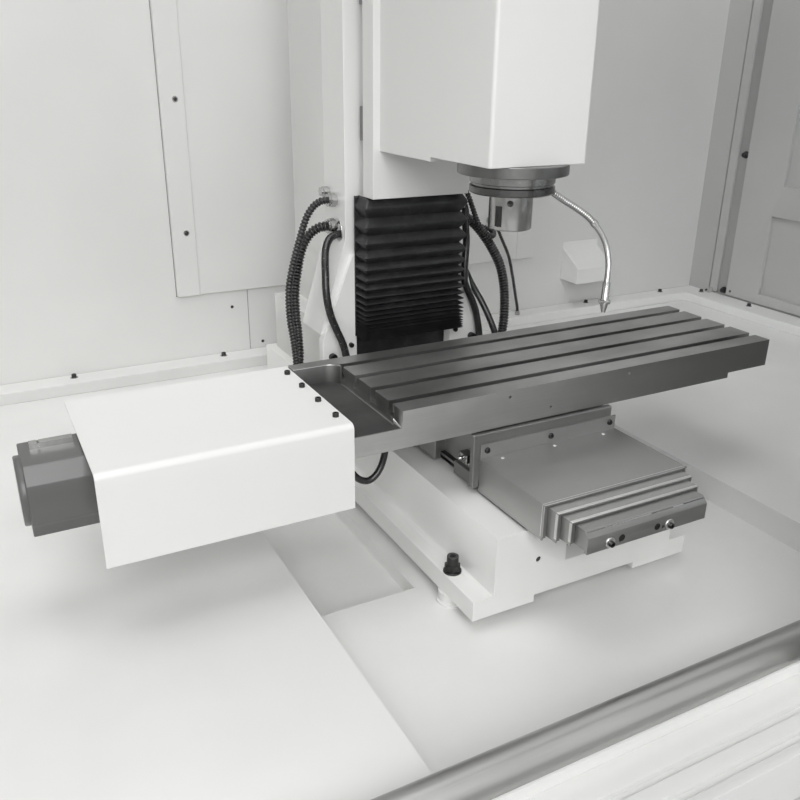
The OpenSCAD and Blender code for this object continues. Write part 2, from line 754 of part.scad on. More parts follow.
module base_casting() {
  y0 = base_front_y;
  y1 = base_rear_y;
  color([0.93, 0.93, 0.91]) difference() {
    union() {
      span([-bed_w / 2, y0, base_z], [bed_w / 2, y1, bed_z]);
      span([-flange_w / 2, y0, base_z], [flange_w / 2, y1, flange_z]);
    }
    // channel of the ball screw, open at the front
    span([-screw_channel_w / 2, y0 - 1, screw_channel_z], [screw_channel_w / 2, y1 - 20, bed_z + 1]);
    // rail seats
    for (s = [-1, 1])
      span([s * y_rail_pitch / 2 - rail_w / 2 - 3, y0 + 8, y_seat_z],
           [s * y_rail_pitch / 2 + rail_w / 2 + 3, y0 + 620, bed_z + 1]);
    // relief under the middle
    span([-100, y0 - 1, base_z - 1], [100, y1 + 1, base_z + 12]);
    // cored hollow behind the front face
    for (s = [-1, 1])
      span([s > 0 ? 60 : -160, y0 + 40, base_z - 1], [s > 0 ? 160 : -60, y1 - 40, y_seat_z - 22]);
    // threaded lifting hole in the front face
    y_bar(5, y0 - 1, y0 + 25, -97, bed_z - 57);
    for (s = [-1, 1], y = [y0 + 86, y1 - 90])
      z_bar(level_screw_d / 2 + seat_gap, base_z - 1, flange_z + 1, s * (flange_w / 2 - 16), y);
  }
}

module base_pads() {
  color([0.75, 0.75, 0.74])
  for (s = [-1, 1], y = [base_front_y + 86, base_rear_y - 90])
    translate([s * (flange_w / 2 - 16), y, tray_z]) rotate_extrude()
      polygon([[0, 0], [pad_d / 2, 0], [pad_d / 2, 5], [pad_d / 2 - 3, 6], [pad_d / 2 - 3, pad_h],
               [level_screw_d / 2, pad_h], [level_screw_d / 2, pad_h + flange_h], [14, pad_h + flange_h],
               [14, pad_h + flange_h + 3], [12, pad_h + flange_h + 3], [12, pad_h + flange_h + 11],
               [9, pad_h + flange_h + 12], [9, pad_h + flange_h + 28], [5, pad_h + flange_h + 28],
               [5, pad_h + flange_h + 20], [0, pad_h + flange_h + 20]]);
}

module y_rails() {
  color([0.6, 0.6, 0.62])
  for (s = [-1, 1])
    translate([s * y_rail_pitch / 2, base_front_y + 14, y_seat_z]) rail(plate_front_y - base_front_y - 26);
}

y_screw_y0 = base_front_y + 30;
y_screw_y1 = base_rear_y - 230;

module y_ball_screw() {
  color([0.7, 0.7, 0.72]) union() {
    y_bar(screw_d / 2, y_screw_y0 + 30, y_screw_y1 - 30, 0, y_screw_z);
    y_bar(7, y_screw_y0, y_screw_y1 + 90, 0, y_screw_z);
    y_bar(14, y_screw_y1 + 24, y_screw_y1 + 60, 0, y_screw_z);
  }
}

module screw_bearings() {
  color([0.45, 0.45, 0.46]) {
    for (y = [y_screw_y0 + 2, y_screw_y1 - 28])
      difference() {
        span([-38, y, screw_channel_z], [38, y + 26, bed_z - 4]);
        y_bar(7 + run_gap, y - 1, y + 27, 0, y_screw_z);
      }
    for (z = [z_screw_z0 + 2, z_screw_z1 - 28])
      difference() {
        span([-38, z_screw_y - 24, z], [38, column_y + 40, z + 26]);
        z_bar(7 + run_gap, z - 1, z + 27, 0, z_screw_y);
      }
  }
}

z_screw_y = column_y + 8;
z_screw_z0 = bellows_z + 20;
z_screw_z1 = column_top_z - 40;
small_motor_w = 84;

// Motors that stay with the frame: the saddle's behind the screw channel, the head's on the column
module axis_motors() {
  w = small_motor_w;
  color([0.2, 0.2, 0.21]) {
    translate([0, y_screw_y1 + 66, y_screw_z]) rotate([0, 0, 90]) servo_small(w);
    translate([0, z_screw_y, column_top_z]) rotate([0, -90, 0]) servo_small(w);
  }
}

module servo_small(w) {
  difference() {
    translate([0, -w / 2, -w / 2]) cube([130, w, w]);
    for (sy = [-1, 1], sz = [-1, 1])
      translate([-1, sy * w / 2, sz * w / 2]) rotate([45, 0, 0]) translate([0, -6, -6]) cube([132, 12, 12]);
    translate([-1, 0, 0]) rotate([0, 90, 0]) cylinder(r = 8, h = 30);
  }
}

// Saddle

module saddle() {
  nut_w = 60;
  color([0.9, 0.9, 0.88]) difference() {
    union() {
      span([-saddle_x, saddle_front_y + 2, saddle_seat_z], [saddle_x, saddle_back_y, saddle_top_z]);
      // skirts at the two ends, the left one short
      for (s = [-1, 1])
        span([s > 0 ? saddle_x - 12 : -saddle_x, saddle_front_y + (s > 0 ? 2 : recess_l), skirt_z],
             [s > 0 ? saddle_x : -saddle_x + 12, saddle_back_y, saddle_seat_z + 1]);
      // machined front plate up to the table
      span([-saddle_x, saddle_front_y - 8, skirt_z + 13], [saddle_x, saddle_front_y + 3, table_bottom_z - slide_gap]);
      for (s = [-1, 1])
        span([s > 0 ? saddle_x - 12 : -saddle_x, saddle_front_y - 8, skirt_z],
             [s > 0 ? saddle_x : -saddle_x + 12, saddle_front_y + 3, skirt_z + 14]);
    }
    // recess at the left end, behind the front plate, for the oil lines
    span([-saddle_x - 1, saddle_front_y + 3, skirt_z - 1],
         [-saddle_x + recess_d, saddle_front_y + recess_l, saddle_top_z + 1]);
    // groove for the table's ball screw
    span([-saddle_x - 1, x_screw_y - nut_w / 2, saddle_top_z - 26],
         [saddle_x + 1, x_screw_y + nut_w / 2, saddle_top_z + 1]);
    // groove for the nut under the saddle
    span([-nut_w / 2, saddle_front_y - 20, skirt_z - 1], [nut_w / 2, saddle_back_y + 1, saddle_seat_z + 14]);
  }
}

module saddle_carriages() {
  color([0.35, 0.35, 0.36]) {
    for (s = [-1, 1], t = [-1, 1])
      translate([s * y_rail_pitch / 2, (saddle_front_y + saddle_back_y) / 2 + t * y_block_pitch / 2, y_seat_z])
        carriage();
    for (s = [-1, 1], t = [-1, 1])
      translate([s * x_block_pitch / 2, table_mid_y + t * x_rail_pitch / 2, x_seat_z])
        rotate([0, 0, 90]) mirror([0, 0, 1]) carriage();
    // nut on the bed's screw, hung from the saddle
    difference() {
      union() {
        y_bar(17, table_mid_y - 34, table_mid_y + 34, 0, y_screw_z);
        span([-26, table_mid_y - 20, y_screw_z], [26, table_mid_y + 20, saddle_seat_z + 14]);
      }
      y_bar(screw_d / 2 + run_gap, table_mid_y - 40, table_mid_y + 40, 0, y_screw_z);
    }
    // nut on the table's screw, standing in the saddle's groove
    difference() {
      union() {
        x_bar(17, -34, 34, x_screw_y, x_screw_z);
        span([-20, x_screw_y - 26, saddle_top_z - 26], [20, x_screw_y + 26, x_screw_z]);
      }
      x_bar(screw_d / 2 + run_gap, -40, 40, x_screw_y, x_screw_z);
    }
  }
}

// Oil distributor on the wall of the saddle's recess
module lube_block() {
  x1 = -saddle_x + recess_d;
  y0 = saddle_front_y + 17;
  z0 = skirt_z + 32;
  color([0.7, 0.7, 0.72]) union() {
    span([x1 - 16, y0, z0], [x1, y0 + 24, z0 + 14]);
    for (i = [0 : 2])
      z_bar(3, z0 - 7, z0 + 1, x1 - 8, y0 + 4 + i * 8);
    x_bar(3.5, x1 - 24, x1 - 15, y0 + 12, z0 + 7);
  }
}

// Way cover in front of the saddle

module way_cover_box() {
  y0 = cover_front_y;
  y1 = saddle_front_y - 8;
  z1 = cover_top_z;
  z0 = z1 - cover_h;
  x0 = cover_mid_x - cover_w / 2;
  x1 = cover_mid_x + cover_w / 2;
  lip = 0.5;
  color([0.72, 0.73, 0.74]) difference() {
    union() {
      span([x0, y0, z0], [x1, y1, z1]);
      span([x0 - lip, y0, z0], [x1 + lip, y0 + 3, z1 + lip]);
      // flange that screws to the saddle
      span([x0, y1 - cover_t, z1 - 1], [x1, y1, z1 + 24]);
    }
    span([x0 + cover_t, y0 - 1, z0 - 1], [x1 - cover_t, y1 + 1, z1 - cover_t]);
    for (x = [-124, 0, 124]) y_bar(2.6, y1 - 4, y1 + 1, cover_mid_x + x, z1 + 13);
  }
}

// A nested segment of the way cover, numbered from the largest box
module cover_segment(i) {
  w = cover_w - 2 * i * cover_inset;
  z1 = cover_top_z - i * cover_drop;
  z0 = cover_top_z - cover_h + i * cover_drop;
  y0 = cover_front_y - i * cover_show;
  lip = cover_inset - cover_t - 2 * run_gap;
  lip_h = cover_drop - cover_t - 2 * run_gap;
  y1 = y0 + cover_segment_l;
  difference() {
    union() {
      span([cover_mid_x - w / 2, y0, z0], [cover_mid_x + w / 2, y1, z1]);
      // rear lip that rides inside the next larger box
      span([cover_mid_x - w / 2 - lip, y1 - 6, z0], [cover_mid_x + w / 2 + lip, y1, z1 + lip_h]);
    }
    span([cover_mid_x - w / 2 + cover_t, y0 - 1, z0 - 1],
         [cover_mid_x + w / 2 - cover_t, y0 + cover_segment_l + 1, z1 - cover_t]);
  }
}

module way_cover_middle() { color([0.72, 0.73, 0.74]) cover_segment(1); }
module way_cover_small() { color([0.72, 0.73, 0.74]) cover_segment(2); }

// Fixed end of the way cover: a short box, a bevelled plate and its arm to the base
module way_cover_end() {
  w = cover_w - 6 * cover_inset;
  z1 = cover_top_z - 3 * cover_drop;
  z0 = z1 - 34;
  y0 = cover_end_y;
  color([0.7, 0.71, 0.72]) union() {
    difference() {
      translate([cover_mid_x - w / 2, 0, 0]) rotate([90, 0, 90]) linear_extrude(height = w)
        polygon([[y0 + 100, z0 + 4], [y0 + 100, z1], [y0 + 3, z1], [y0 - end_plate_t, z1 - 9],
                 [y0 - end_plate_t, z0], [y0, z0], [y0, z0 + 4]]);
      span([cover_mid_x - w / 2 + cover_t, y0, z0 - 1], [cover_mid_x + w / 2 - cover_t, y0 + 101, z1 - cover_t]);
      for (x = [-52, 28]) y_bar(3, y0 - 10, y0 + 1, cover_mid_x + x, z0 + 8);
    }
    // two feet under the box that stand on the bed
    for (s = [-1, 1]) {
      x0 = s > 0 ? end_foot_x : -end_foot_x - end_foot_w;
      span([x0, y0 + 20, z0 + 8], [x0 + end_foot_w, base_front_y + 22, z1 - cover_t + 0.5]);
      span([x0, base_front_y, bed_z], [x0 + end_foot_w, base_front_y + 22, z0 + 9]);
    }
  }
}

// Table

module table_plan(x0, x1) {
  span([x0, table_front_y, table_bottom_z], [x1, table_back_y, table_z]);
}

module table() {
  ledge = 10;
  trough_x0 = table_x0 + 10;
  r = 25;
  color([0.62, 0.62, 0.63]) difference() {
    table_plan(table_x0, block_x1);
    // inside of the channel section
    span([table_x0 - 1, table_front_y + skirt_t, table_bottom_z - 1],
         [block_x1 - 18, table_back_y - skirt_t, plate_under_z]);
    // shallower skirts at the right end
    span([step_x, table_front_y - 1, table_bottom_z - 1], [block_x1 + 1, table_back_y + 1, table_bottom_z + 10]);
    // trough with rounded corners
    translate([0, 0, trough_floor_z]) linear_extrude(height = table_t) union() {
      translate([trough_x0 + r, table_front_y + ledge])
        square([block_x0 - trough_x0 - 2 * r, table_w - ledge - 25]);
      translate([trough_x0, table_front_y + ledge + r])
        square([block_x0 - trough_x0, table_w - ledge - 25 - 2 * r]);
      for (x = [trough_x0 + r, block_x0 - r], y = [table_front_y + ledge + r, table_back_y - 25 - r])
        translate([x, y]) circle(r = r);
    }
    // low front rim of the trough
    span([table_x0 - 1, table_front_y - 1, rim_z], [block_x0, table_front_y + ledge + 20, table_z + 1]);
    // end that the sheet cover lies on
    span([table_x0 - 1, table_front_y - 1, table_z - 6], [cover_edge_x, table_back_y + 1, table_z + 1]);
    // T-slots
    for (i = [0 : 3]) {
      y = table_mid_y + (i - 1.5) * slot_pitch;
      span([block_x0 - 1, y - slot_w / 2, table_z - slot_depth], [block_x1 + 1, y + slot_w / 2, table_z + 1]);
      span([block_x0 - 1, y - slot_head_w / 2, table_z - slot_depth],
           [block_x1 + 1, y + slot_head_w / 2, table_z - slot_depth + slot_head_h]);
    }
    // tapped holes in the front skirt
    for (x = [-69, 175]) y_bar(2.5, table_front_y - 1, table_front_y + 12, x, table_z - 11.5);
    y_bar(2.5, table_front_y - 1, table_front_y + 12, 13, table_z - 43.5);
  }
}

module x_rails() {
  color([0.6, 0.6, 0.62])
  for (s = [-1, 1])
    translate([table_x0 + 20, table_mid_y + s * x_rail_pitch / 2, x_seat_z])
      rotate([0, 0, -90]) mirror([0, 0, 1]) rail(block_x1 - table_x0 - 60);
}

x_bearing_x = block_x1 - 62;

module x_ball_screw() {
  color([0.7, 0.7, 0.72]) union() {
    x_bar(screw_d / 2, table_x0 - 20, x_bearing_x - 4, x_screw_y, x_screw_z);
    x_bar(7, x_bracket_x0 + 7, x_bearing_x + 34, x_screw_y, x_screw_z);
    x_bar(18, x_bracket_x0 + 24, x_bracket_x0 + 86, x_screw_y, x_screw_z);
  }
}

// Bracket that carries the table's motor and the fixed screw bearing
module x_motor_bracket() {
  z1 = table_z - 14;
  z0 = x_screw_z - motor_w / 2 - 4;
  y0 = x_screw_y - 66;
  y1 = x_screw_y + 66;
  color([0.4, 0.4, 0.41]) difference() {
    span([x_bracket_x0, y0, z0], [table_x0, y1, z1]);
    span([x_bracket_x0 + 20, y0 + 14, z0 - 1], [table_x0 - 60, y1 - 14, z1 - 12]);
    x_bar(screw_d / 2 + 1, table_x0 - 40, table_x0 + 1, x_screw_y, x_screw_z);
    x_bar(7 + run_gap, table_x0 - 61, table_x0 - 39, x_screw_y, x_screw_z);
    x_bar(motor_w * 0.3 + seat_gap, x_bracket_x0 - 1, x_bracket_x0 + 21, x_screw_y, x_screw_z);
  }
  // bearing at the screw's other end
  color([0.4, 0.4, 0.41]) difference() {
    span([x_bearing_x, x_screw_y - 26, x_screw_z - 22], [x_bearing_x + 30, x_screw_y + 26, plate_under_z]);
    x_bar(7 + run_gap, x_bearing_x - 1, x_bearing_x + 31, x_screw_y, x_screw_z);
  }
}

module x_motor() {
  color([0.28, 0.28, 0.29])
    translate([x_motor_x1, x_screw_y, x_screw_z]) mirror([1, 0, 0]) servo(motor_w, x_motor_l - cap_l);
}

module x_motor_plug() {
  x0 = x_motor_x1 - x_motor_l + 22;
  y0 = x_screw_y + 10;
  z0 = x_screw_z + motor_w / 2;
  color([0.8, 0.8, 0.82]) union() {
    difference() {
      span([x0, y0, z0], [x0 + 55, y0 + 12, z0 + 8]);
      span([x0 + 10, y0 - 1, z0 + 2], [x0 + 13, y0 + 13, z0 + 9]);
    }
    for (q = [loop_route[0], loop_route[len(loop_route) - 1]])
      z_bar(8, x_seat_z - 14, x_seat_z, q[0], q[1]);
  }
}

// Cable of the table's motor: it hangs in a loop from two glands under the trough
module x_motor_cable() { color([0.09, 0.09, 0.09]) route_tube(loop_route, loop_d, 8); }

// White sheet cover, folded down at the front, over the motor bracket and the trough's end
module x_motor_cover() {
  x1 = cover_edge_x;
  x0 = x1 - motor_cover_l;
  y0 = table_front_y - 3;
  y1 = table_back_y + 9;
  z1 = table_z - 4;
  r = 9;
  t = 2;
  color([0.95, 0.95, 0.94]) translate([x0, 0, 0]) rotate([90, 0, 90]) linear_extrude(height = x1 - x0)
    union() {
      translate([y0 + r, z1 - t]) square([y1 - y0 - r, t]);
      translate([y0, z1 - motor_cover_h]) square([t, motor_cover_h - r]);
      intersection() {
        translate([y0 + r, z1 - r]) difference() {
          circle(r = r);
          circle(r = r - t);
        }
        translate([y0, z1 - r]) square([r, r]);
      }
    }
}

// Column

module column() {
  cut_z = bed_z + 123;
  color([0.92, 0.92, 0.9]) difference() {
    union() {
      // front flange, flared at its foot
      translate([0, column_y + column_flange_d, 0]) rotate([90, 0, 0]) linear_extrude(height = column_flange_d)
        polygon([[-foot_x, column_foot_z], [foot_x, column_foot_z], [column_x, column_foot_z + flare_h],
                 [column_x, column_top_z], [-column_x, column_top_z], [-column_x, column_foot_z + flare_h]]);
      // foot plate, a little proud, with sloping shoulders
      translate([0, plate_front_y + 20, 0]) rotate([90, 0, 0]) linear_extrude(height = 20)
        polygon([[-foot_x, bed_z], [foot_x, bed_z], [foot_x, column_foot_z - 11], [foot_x - 25, column_foot_z + 49],
                 [column_x - 10, column_foot_z + 158], [-column_x + 10, column_foot_z + 158],
                 [-foot_x + 25, column_foot_z + 49], [-foot_x, column_foot_z - 11]]);
      // body behind, and its pedestal on the bed
      span([-column_x + body_inset, column_y + column_flange_d - 1, column_foot_z - 10],
           [column_x - body_inset, column_rear_y, column_top_z]);
      span([-bed_w / 2 + 20, column_y, bed_z], [bed_w / 2 - 20, column_rear_y + 20, column_foot_z]);
      // shelf that carries the upper motor
      span([-small_motor_w / 2 - 6, z_screw_y - small_motor_w / 2, column_top_z - 20],
           [small_motor_w / 2 + 6, column_y + 1, column_top_z]);
    }
    // dark opening between the feet, over the rails and the screw
    span([-apron_w / 2, plate_front_y - 1, bed_z - 1], [apron_w / 2, column_y + 40, cut_z]);
    span([-60, column_y, bed_z - 1], [60, column_rear_y + 21, column_foot_z - 20]);
    // hollow body
    span([-column_x + body_inset + 24, column_y + column_flange_d + 24, column_foot_z + 40],
         [column_x - body_inset - 24, column_rear_y - 24, column_top_z - 60]);
    // groove for the head's ball screw
    span([-34, plate_front_y - 1, bellows_z + 4], [34, column_y + 40, z_screw_z1 - 20]);
    // seat of the upper screw bearing, and the shaft's hole under the motor
    span([-38, plate_front_y - 1, z_screw_z1 - 28], [38, column_y + 40, column_top_z - 20]);
    z_bar(9, column_top_z - 21, column_top_z + 1, 0, z_screw_y);
    span([-38, plate_front_y - 1, bellows_z + 22], [38, column_y + 40, bellows_z + 48]);
    // rails sit on the flange, above the foot plate's shoulders
    for (s = [-1, 1])
      span([s * z_rail_pitch / 2 - rail_w / 2 - 16, plate_front_y - 1, bellows_z + 20],
           [s * z_rail_pitch / 2 + rail_w / 2 + 16, column_y, column_foot_z + 160]);
    // oval cable hole and its screws
    translate([-column_x - 30, column_y + 28, table_z + 158]) rotate([0, 90, 0])
      linear_extrude(height = 40) union() {
        translate([6, 0]) circle(r = 9);
        translate([-6, 0]) circle(r = 9);
        translate([0, 0]) square([12, 18], center = true);
      }
  }
}

module z_rails() {
  color([0.6, 0.6, 0.62])
  for (s = [-1, 1])
    translate([s * z_rail_pitch / 2, column_y, bellows_z + 40]) rotate([90, 0, 0])
      rail(column_top_z - bellows_z - 80);
}

module z_ball_screw() {
  color([0.7, 0.7, 0.72]) union() {
    z_bar(screw_d / 2, z_screw_z0 + 30, z_screw_z1 - 30, 0, z_screw_y);
    z_bar(7, z_screw_z0, column_top_z + 24, 0, z_screw_y);
  }
}

module rubber_apron() {
  color([0.06, 0.06, 0.06])
    span([-apron_w / 2, plate_front_y + 23, bed_z + 22], [apron_w / 2, plate_front_y + 26, bed_z + 123]);
}

// Chrome ends of the conduits: sleeve, nut and collar
module fitting(d) {
  r = d / 2 + 6;
  rotate_extrude() polygon([[0, 0], [r - 3, 0], [r - 3, 3], [r, 4], [r, 14], [r - 1.5, 15], [r - 1.5, 19], [0, 19]]);
}

module hose_fittings() {
  pocket_z = tray_z - pocket_h;
  ledge_z = side_floor_z + ledge_h;
  plate_t = 6;
  color([0.85, 0.85, 0.87]) {
    route_head(upper_route, -1, upper_d);
    route_head(lower_route, -1, lower_d - 2);
    route_head(right_route, 1, right_d);
    route_head(right_b_route, 1, right_b_d - 2);
    route_head(ring_route, 1, ring_d);
    route_head(reversed(ring_route), 1, ring_d);
    // gland on the side of the column's body
    translate([column_x - body_inset, right_a_route[0][1], right_a_route[0][2]]) rotate([0, 90, 0]) fitting(right_a_d);
    // gland on the cover panel, and an unused one on the column
    translate([wall_route[0][0], rear_y - rear_panel_t + panel_press, wall_route[0][2]])
      rotate([90, 0, 0]) fitting(wall_d);
    translate([-column_x, column_y + 77, upper_route[0][2] + 12]) rotate([0, -90, 0]) fitting(8);
    // plates in the pockets' floors, with the lower ends on them
    for (p = [upper_route, lower_route, right_route])
      z_bar(17, pocket_z, pocket_z + plate_t, p[len(p) - 1][0], p[len(p) - 1][1]);
    route_foot(upper_route, pocket_z + plate_t, upper_d);
    route_foot(lower_route, pocket_z + plate_t, lower_d);
    route_foot(right_route, pocket_z + plate_t, right_d);
    route_foot(left_route, bed_z, left_d - 2);
    route_foot(right_a_route, bed_z, right_a_d - 2);
    route_foot(right_b_route, bed_z, right_b_d - 2);
    route_foot(wall_route, ledge_z, wall_d);
  }
}

// A fitting on the column's side, round the first point of a route
module route_head(p, s, d) {
  translate([s * column_x, p[0][1], p[0][2]]) rotate([0, s * 90, 0]) fitting(d);
}

// A fitting that stands under the last point of a route
module route_foot(p, z, d) {
  translate([p[len(p) - 1][0], p[len(p) - 1][1], z]) z_end(d);
}

module z_end(d) {
  rotate_extrude() polygon([[0, 0], [d * 0.75, 0], [d * 0.75, 8], [d * 0.6, 9], [d * 0.6, 12], [0, 12]]);
}

// Spindle head

module spindle_head() {
  color([0.93, 0.93, 0.91]) difference() {
    union() {
      // head box with rounded front corners
      translate([0, 0, head_bottom_z]) linear_extrude(height = head_h) head_plan();
      span([-head_w / 2, spindle_y + 108, head_rear_z], [head_w / 2, carriage_y, head_bottom_z + 1]);
      // vertical carriage plate behind the bellows' top
      span([-carriage_w / 2, carriage_y - carriage_t, bellows_top_z + seat_gap], [carriage_w / 2, carriage_y, head_top_z - 20]);
    }
    z_bar(cartridge_d / 2 + run_gap, head_bottom_z - 1, head_bottom_z + 220, 0, spindle_y);
    z_bar(48, head_bottom_z + 219, head_top_z + 1, 0, spindle_y);
  }
}

module head_plan() {
  y0 = head_front_y;
  y1 = carriage_y - carriage_t + 1;
  r = 6;
  union() {
    translate([-head_w / 2 + r, y0]) square([head_w - 2 * r, r + 1]);
    translate([-head_w / 2, y0 + r]) square([head_w, y1 - y0 - r]);
    for (s = [-1, 1]) translate([s * (head_w / 2 - r), y0 + r]) circle(r = r);
  }
}

z_blocks_z = head_rear_z + 160;

module head_carriages() {
  color([0.35, 0.35, 0.36]) {
    for (s = [-1, 1], t = [-1, 1])
      translate([s * z_rail_pitch / 2, column_y, z_blocks_z + t * z_block_pitch / 2]) rotate([90, 0, 0]) carriage();
    difference() {
      union() {
        z_bar(17, z_blocks_z - 34, z_blocks_z + 34, 0, z_screw_y);
        span([-22, carriage_y, z_blocks_z - 22], [22, z_screw_y, z_blocks_z + 22]);
      }
      z_bar(screw_d / 2 + run_gap, z_blocks_z - 40, z_blocks_z + 40, 0, z_screw_y);
    }
  }
}

// Fixed flange and housing of the spindle
module spindle_cartridge() {
  color([0.7, 0.7, 0.71]) translate([0, spindle_y, 0]) difference() {
    union() {
      translate([0, 0, flange_bottom_z]) cylinder(r = spindle_flange_d / 2, h = spindle_flange_t - run_gap);
      translate([0, 0, flange_bottom_z]) cylinder(r = cartridge_d / 2, h = 200);
    }
    translate([0, 0, flange_bottom_z - 1]) cylinder(r = spindle_r + run_gap, h = 220);
  }
}

module spindle() {
  groove_z = nose_bottom_z + 12;
  color([0.78, 0.78, 0.8]) translate([0, spindle_y, 0]) difference() {
    rotate_extrude() polygon([
      [0, nose_bottom_z + 1], [nose_d / 2 - 3, nose_bottom_z], [nose_d / 2, nose_bottom_z + 2],
      [nose_d / 2, groove_z], [nose_d / 2 - 4, groove_z + 1], [nose_d / 2 - 4, groove_z + 4],
      [nose_d / 2, groove_z + 5], [nose_d / 2, flange_bottom_z - run_gap], [spindle_r, flange_bottom_z - run_gap],
      [spindle_r, head_bottom_z + 240], [0, head_bottom_z + 240]]);
    // tool taper
    rotate_extrude() polygon([[0, nose_bottom_z - 1], [taper_d / 2 + run_gap, nose_bottom_z - 1],
      [taper_d / 2 + run_gap, nose_bottom_z], [taper_tip_d / 2 + run_gap, nose_bottom_z + taper_l],
      [taper_tip_d / 2 + run_gap, nose_bottom_z + taper_l + 6], [0, nose_bottom_z + taper_l + 6]]);
  }
}

module tool_holder() {
  color([0.8, 0.8, 0.82]) translate([0, spindle_y, 0]) difference() {
    rotate_extrude() polygon([[0, holder_bottom_z], [holder_d / 2 - 2, holder_bottom_z],
      [holder_d / 2, holder_bottom_z + 2], [holder_d / 2, nose_bottom_z - run_gap],
      [taper_d / 2, nose_bottom_z - run_gap], [taper_tip_d / 2, nose_bottom_z + taper_l - 1],
      [0, nose_bottom_z + taper_l - 1]]);
    translate([0, 0, holder_bottom_z - 1]) cylinder(r = holder_bore_d / 2, h = 46);
    // clamping screw hole and driving slot
    translate([0, 0, holder_bottom_z + 44]) rotate([90, 0, -37]) cylinder(r = 5, h = holder_d);
    translate([-holder_d / 2 - 8, -16, nose_bottom_z - 50]) rotate([0, 0, -12]) cube([14, 12, 32]);
  }
}

module spindle_motor() {
  w = 150;
  color([0.25, 0.25, 0.26]) translate([0, spindle_y, head_top_z]) union() {
    linear_extrude(height = 16) round_square(w, w, 12);
    translate([0, 0, 15]) linear_extrude(height = 190) round_square(w - 14, w - 14, 20);
    translate([0, 0, 204]) linear_extrude(height = 26) round_square(w - 26, w - 26, 24);
    translate([0, 0, -100]) cylinder(r = 14, h = 101);
    translate([0, 0, -138]) cylinder(r = 26, h = 50);
  }
}

// Bellows: a box section whose front and sides zigzag with the folds
function fold_top(i) = bellows_h * (1 - pow(fold_ratio, i)) / (1 - pow(fold_ratio, bellows_folds));
fold_heights = [for (i = [0 : bellows_folds]) bellows_top_z - fold_top(i)];

// The folded edge from top to bottom, peaks at x, valleys a fold's depth inwards
function fold_edge(x, inwards) =
  [for (i = [0 : 2 * bellows_folds])
    let (k = floor(i / 2))
    i % 2 == 0 ? [x + inwards * fold_depth, fold_heights[k]]
               : [x, (fold_heights[k] + fold_heights[k + 1]) / 2]];
function reversed(p) = [for (i = [len(p) - 1 : -1 : 0]) p[i]];

module bellows() {
  back = plate_front_y - seat_gap;
  color([0.07, 0.07, 0.075]) difference() {
    union() {
      span([-bellows_x, back - 3, bellows_z], [bellows_x, back, bellows_top_z]);
      intersection() {
        // sides
        translate([0, back, 0]) rotate([90, 0, 0]) linear_extrude(height = back - bellows_front_y)
          polygon(concat(fold_edge(bellows_x, -1), reversed(fold_edge(-bellows_x, 1))));
        // front
        translate([-bellows_x - 1, 0, 0]) rotate([90, 0, 90]) linear_extrude(height = bellows_w + 2)
          polygon(concat(fold_edge(bellows_front_y, 1), [[back + 1, bellows_z], [back + 1, bellows_top_z]]));
      }
    }
    span([-bellows_x + fold_depth + 3, bellows_front_y + fold_depth + 3, bellows_z - 1],
         [bellows_x - fold_depth - 3, back + 1, bellows_top_z + 1]);
  }
}

// Coolant line on the head: flexible neck, tube, ring nut and nozzle
module coolant_gooseneck() {
  p = gooseneck_route[len(gooseneck_route) - 1];
  color([0.82, 0.82, 0.84]) union() {
    route_tube(gooseneck_route, gooseneck_d, 12);
    translate(p) rotate([0, 190, 0]) rotate([10, 0, 0]) {
      translate([0, 0, -2]) cylinder(r = 7, h = 30);
      translate([0, 0, 27]) cylinder(r = 9, h = 9);
      translate([0, 0, 35]) cylinder(r1 = 7, r2 = 3.5, h = 16);
    }
  }
}

module conduit_upper() { color([0.09, 0.09, 0.09]) route_tube(upper_route, upper_d, 8); }
module conduit_lower() { color([0.09, 0.09, 0.09]) route_tube(lower_route, lower_d, 8); }
module cable_left() { color([0.09, 0.09, 0.09]) route_tube(left_route, left_d, 8); }
module conduit_right() { color([0.09, 0.09, 0.09]) route_tube(right_route, right_d, 8); }
module conduit_loop() { color([0.09, 0.09, 0.09]) route_tube(ring_route, ring_d, 8); }
module conduit_wall() { color([0.09, 0.09, 0.09]) route_tube(wall_route, wall_d, 8); }
module cable_right_a() { color([0.09, 0.09, 0.09]) route_tube(right_a_route, right_a_d, 8); }
module cable_right_b() { color([0.09, 0.09, 0.09]) route_tube(right_b_route, right_b_d, 8); }

machine_stand();
levelling_feet();
chip_tray();
rear_wall();
left_wall();
right_wall();
wall_ledge();
rear_cover_panel();
duct_hood();
service_door();
front_frame();
sill_rail();
outer_door();
outer_window();
outer_door_handle();
inner_door();
inner_window();
inner_door_handle();
base_casting();
base_pads();
y_rails();
y_ball_screw();
screw_bearings();
axis_motors();
saddle();
saddle_carriages();
lube_block();
way_cover_box();
way_cover_middle();
way_cover_small();
way_cover_end();
table();
x_rails();
x_ball_screw();
x_motor_bracket();
x_motor_cover();
x_motor();
x_motor_plug();
x_motor_cable();
column();
z_rails();
z_ball_screw();
rubber_apron();
hose_fittings();
spindle_head();
head_carriages();
spindle_cartridge();
spindle();
tool_holder();
spindle_motor();
bellows();
coolant_gooseneck();
conduit_upper();
conduit_lower();
cable_left();
conduit_right();
conduit_loop();
conduit_wall();
cable_right_a();
cable_right_b();
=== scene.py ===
"""A bed-type machining center inside its sheet enclosure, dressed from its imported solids.

The solids are the frame. This script adds the camera, the light, the finishes and the fine pieces.
Lengths are metres, with +X to the right, +Y to the back and +Z up.
The origin is on the floor under the middle of the enclosure.
"""
import json
import math

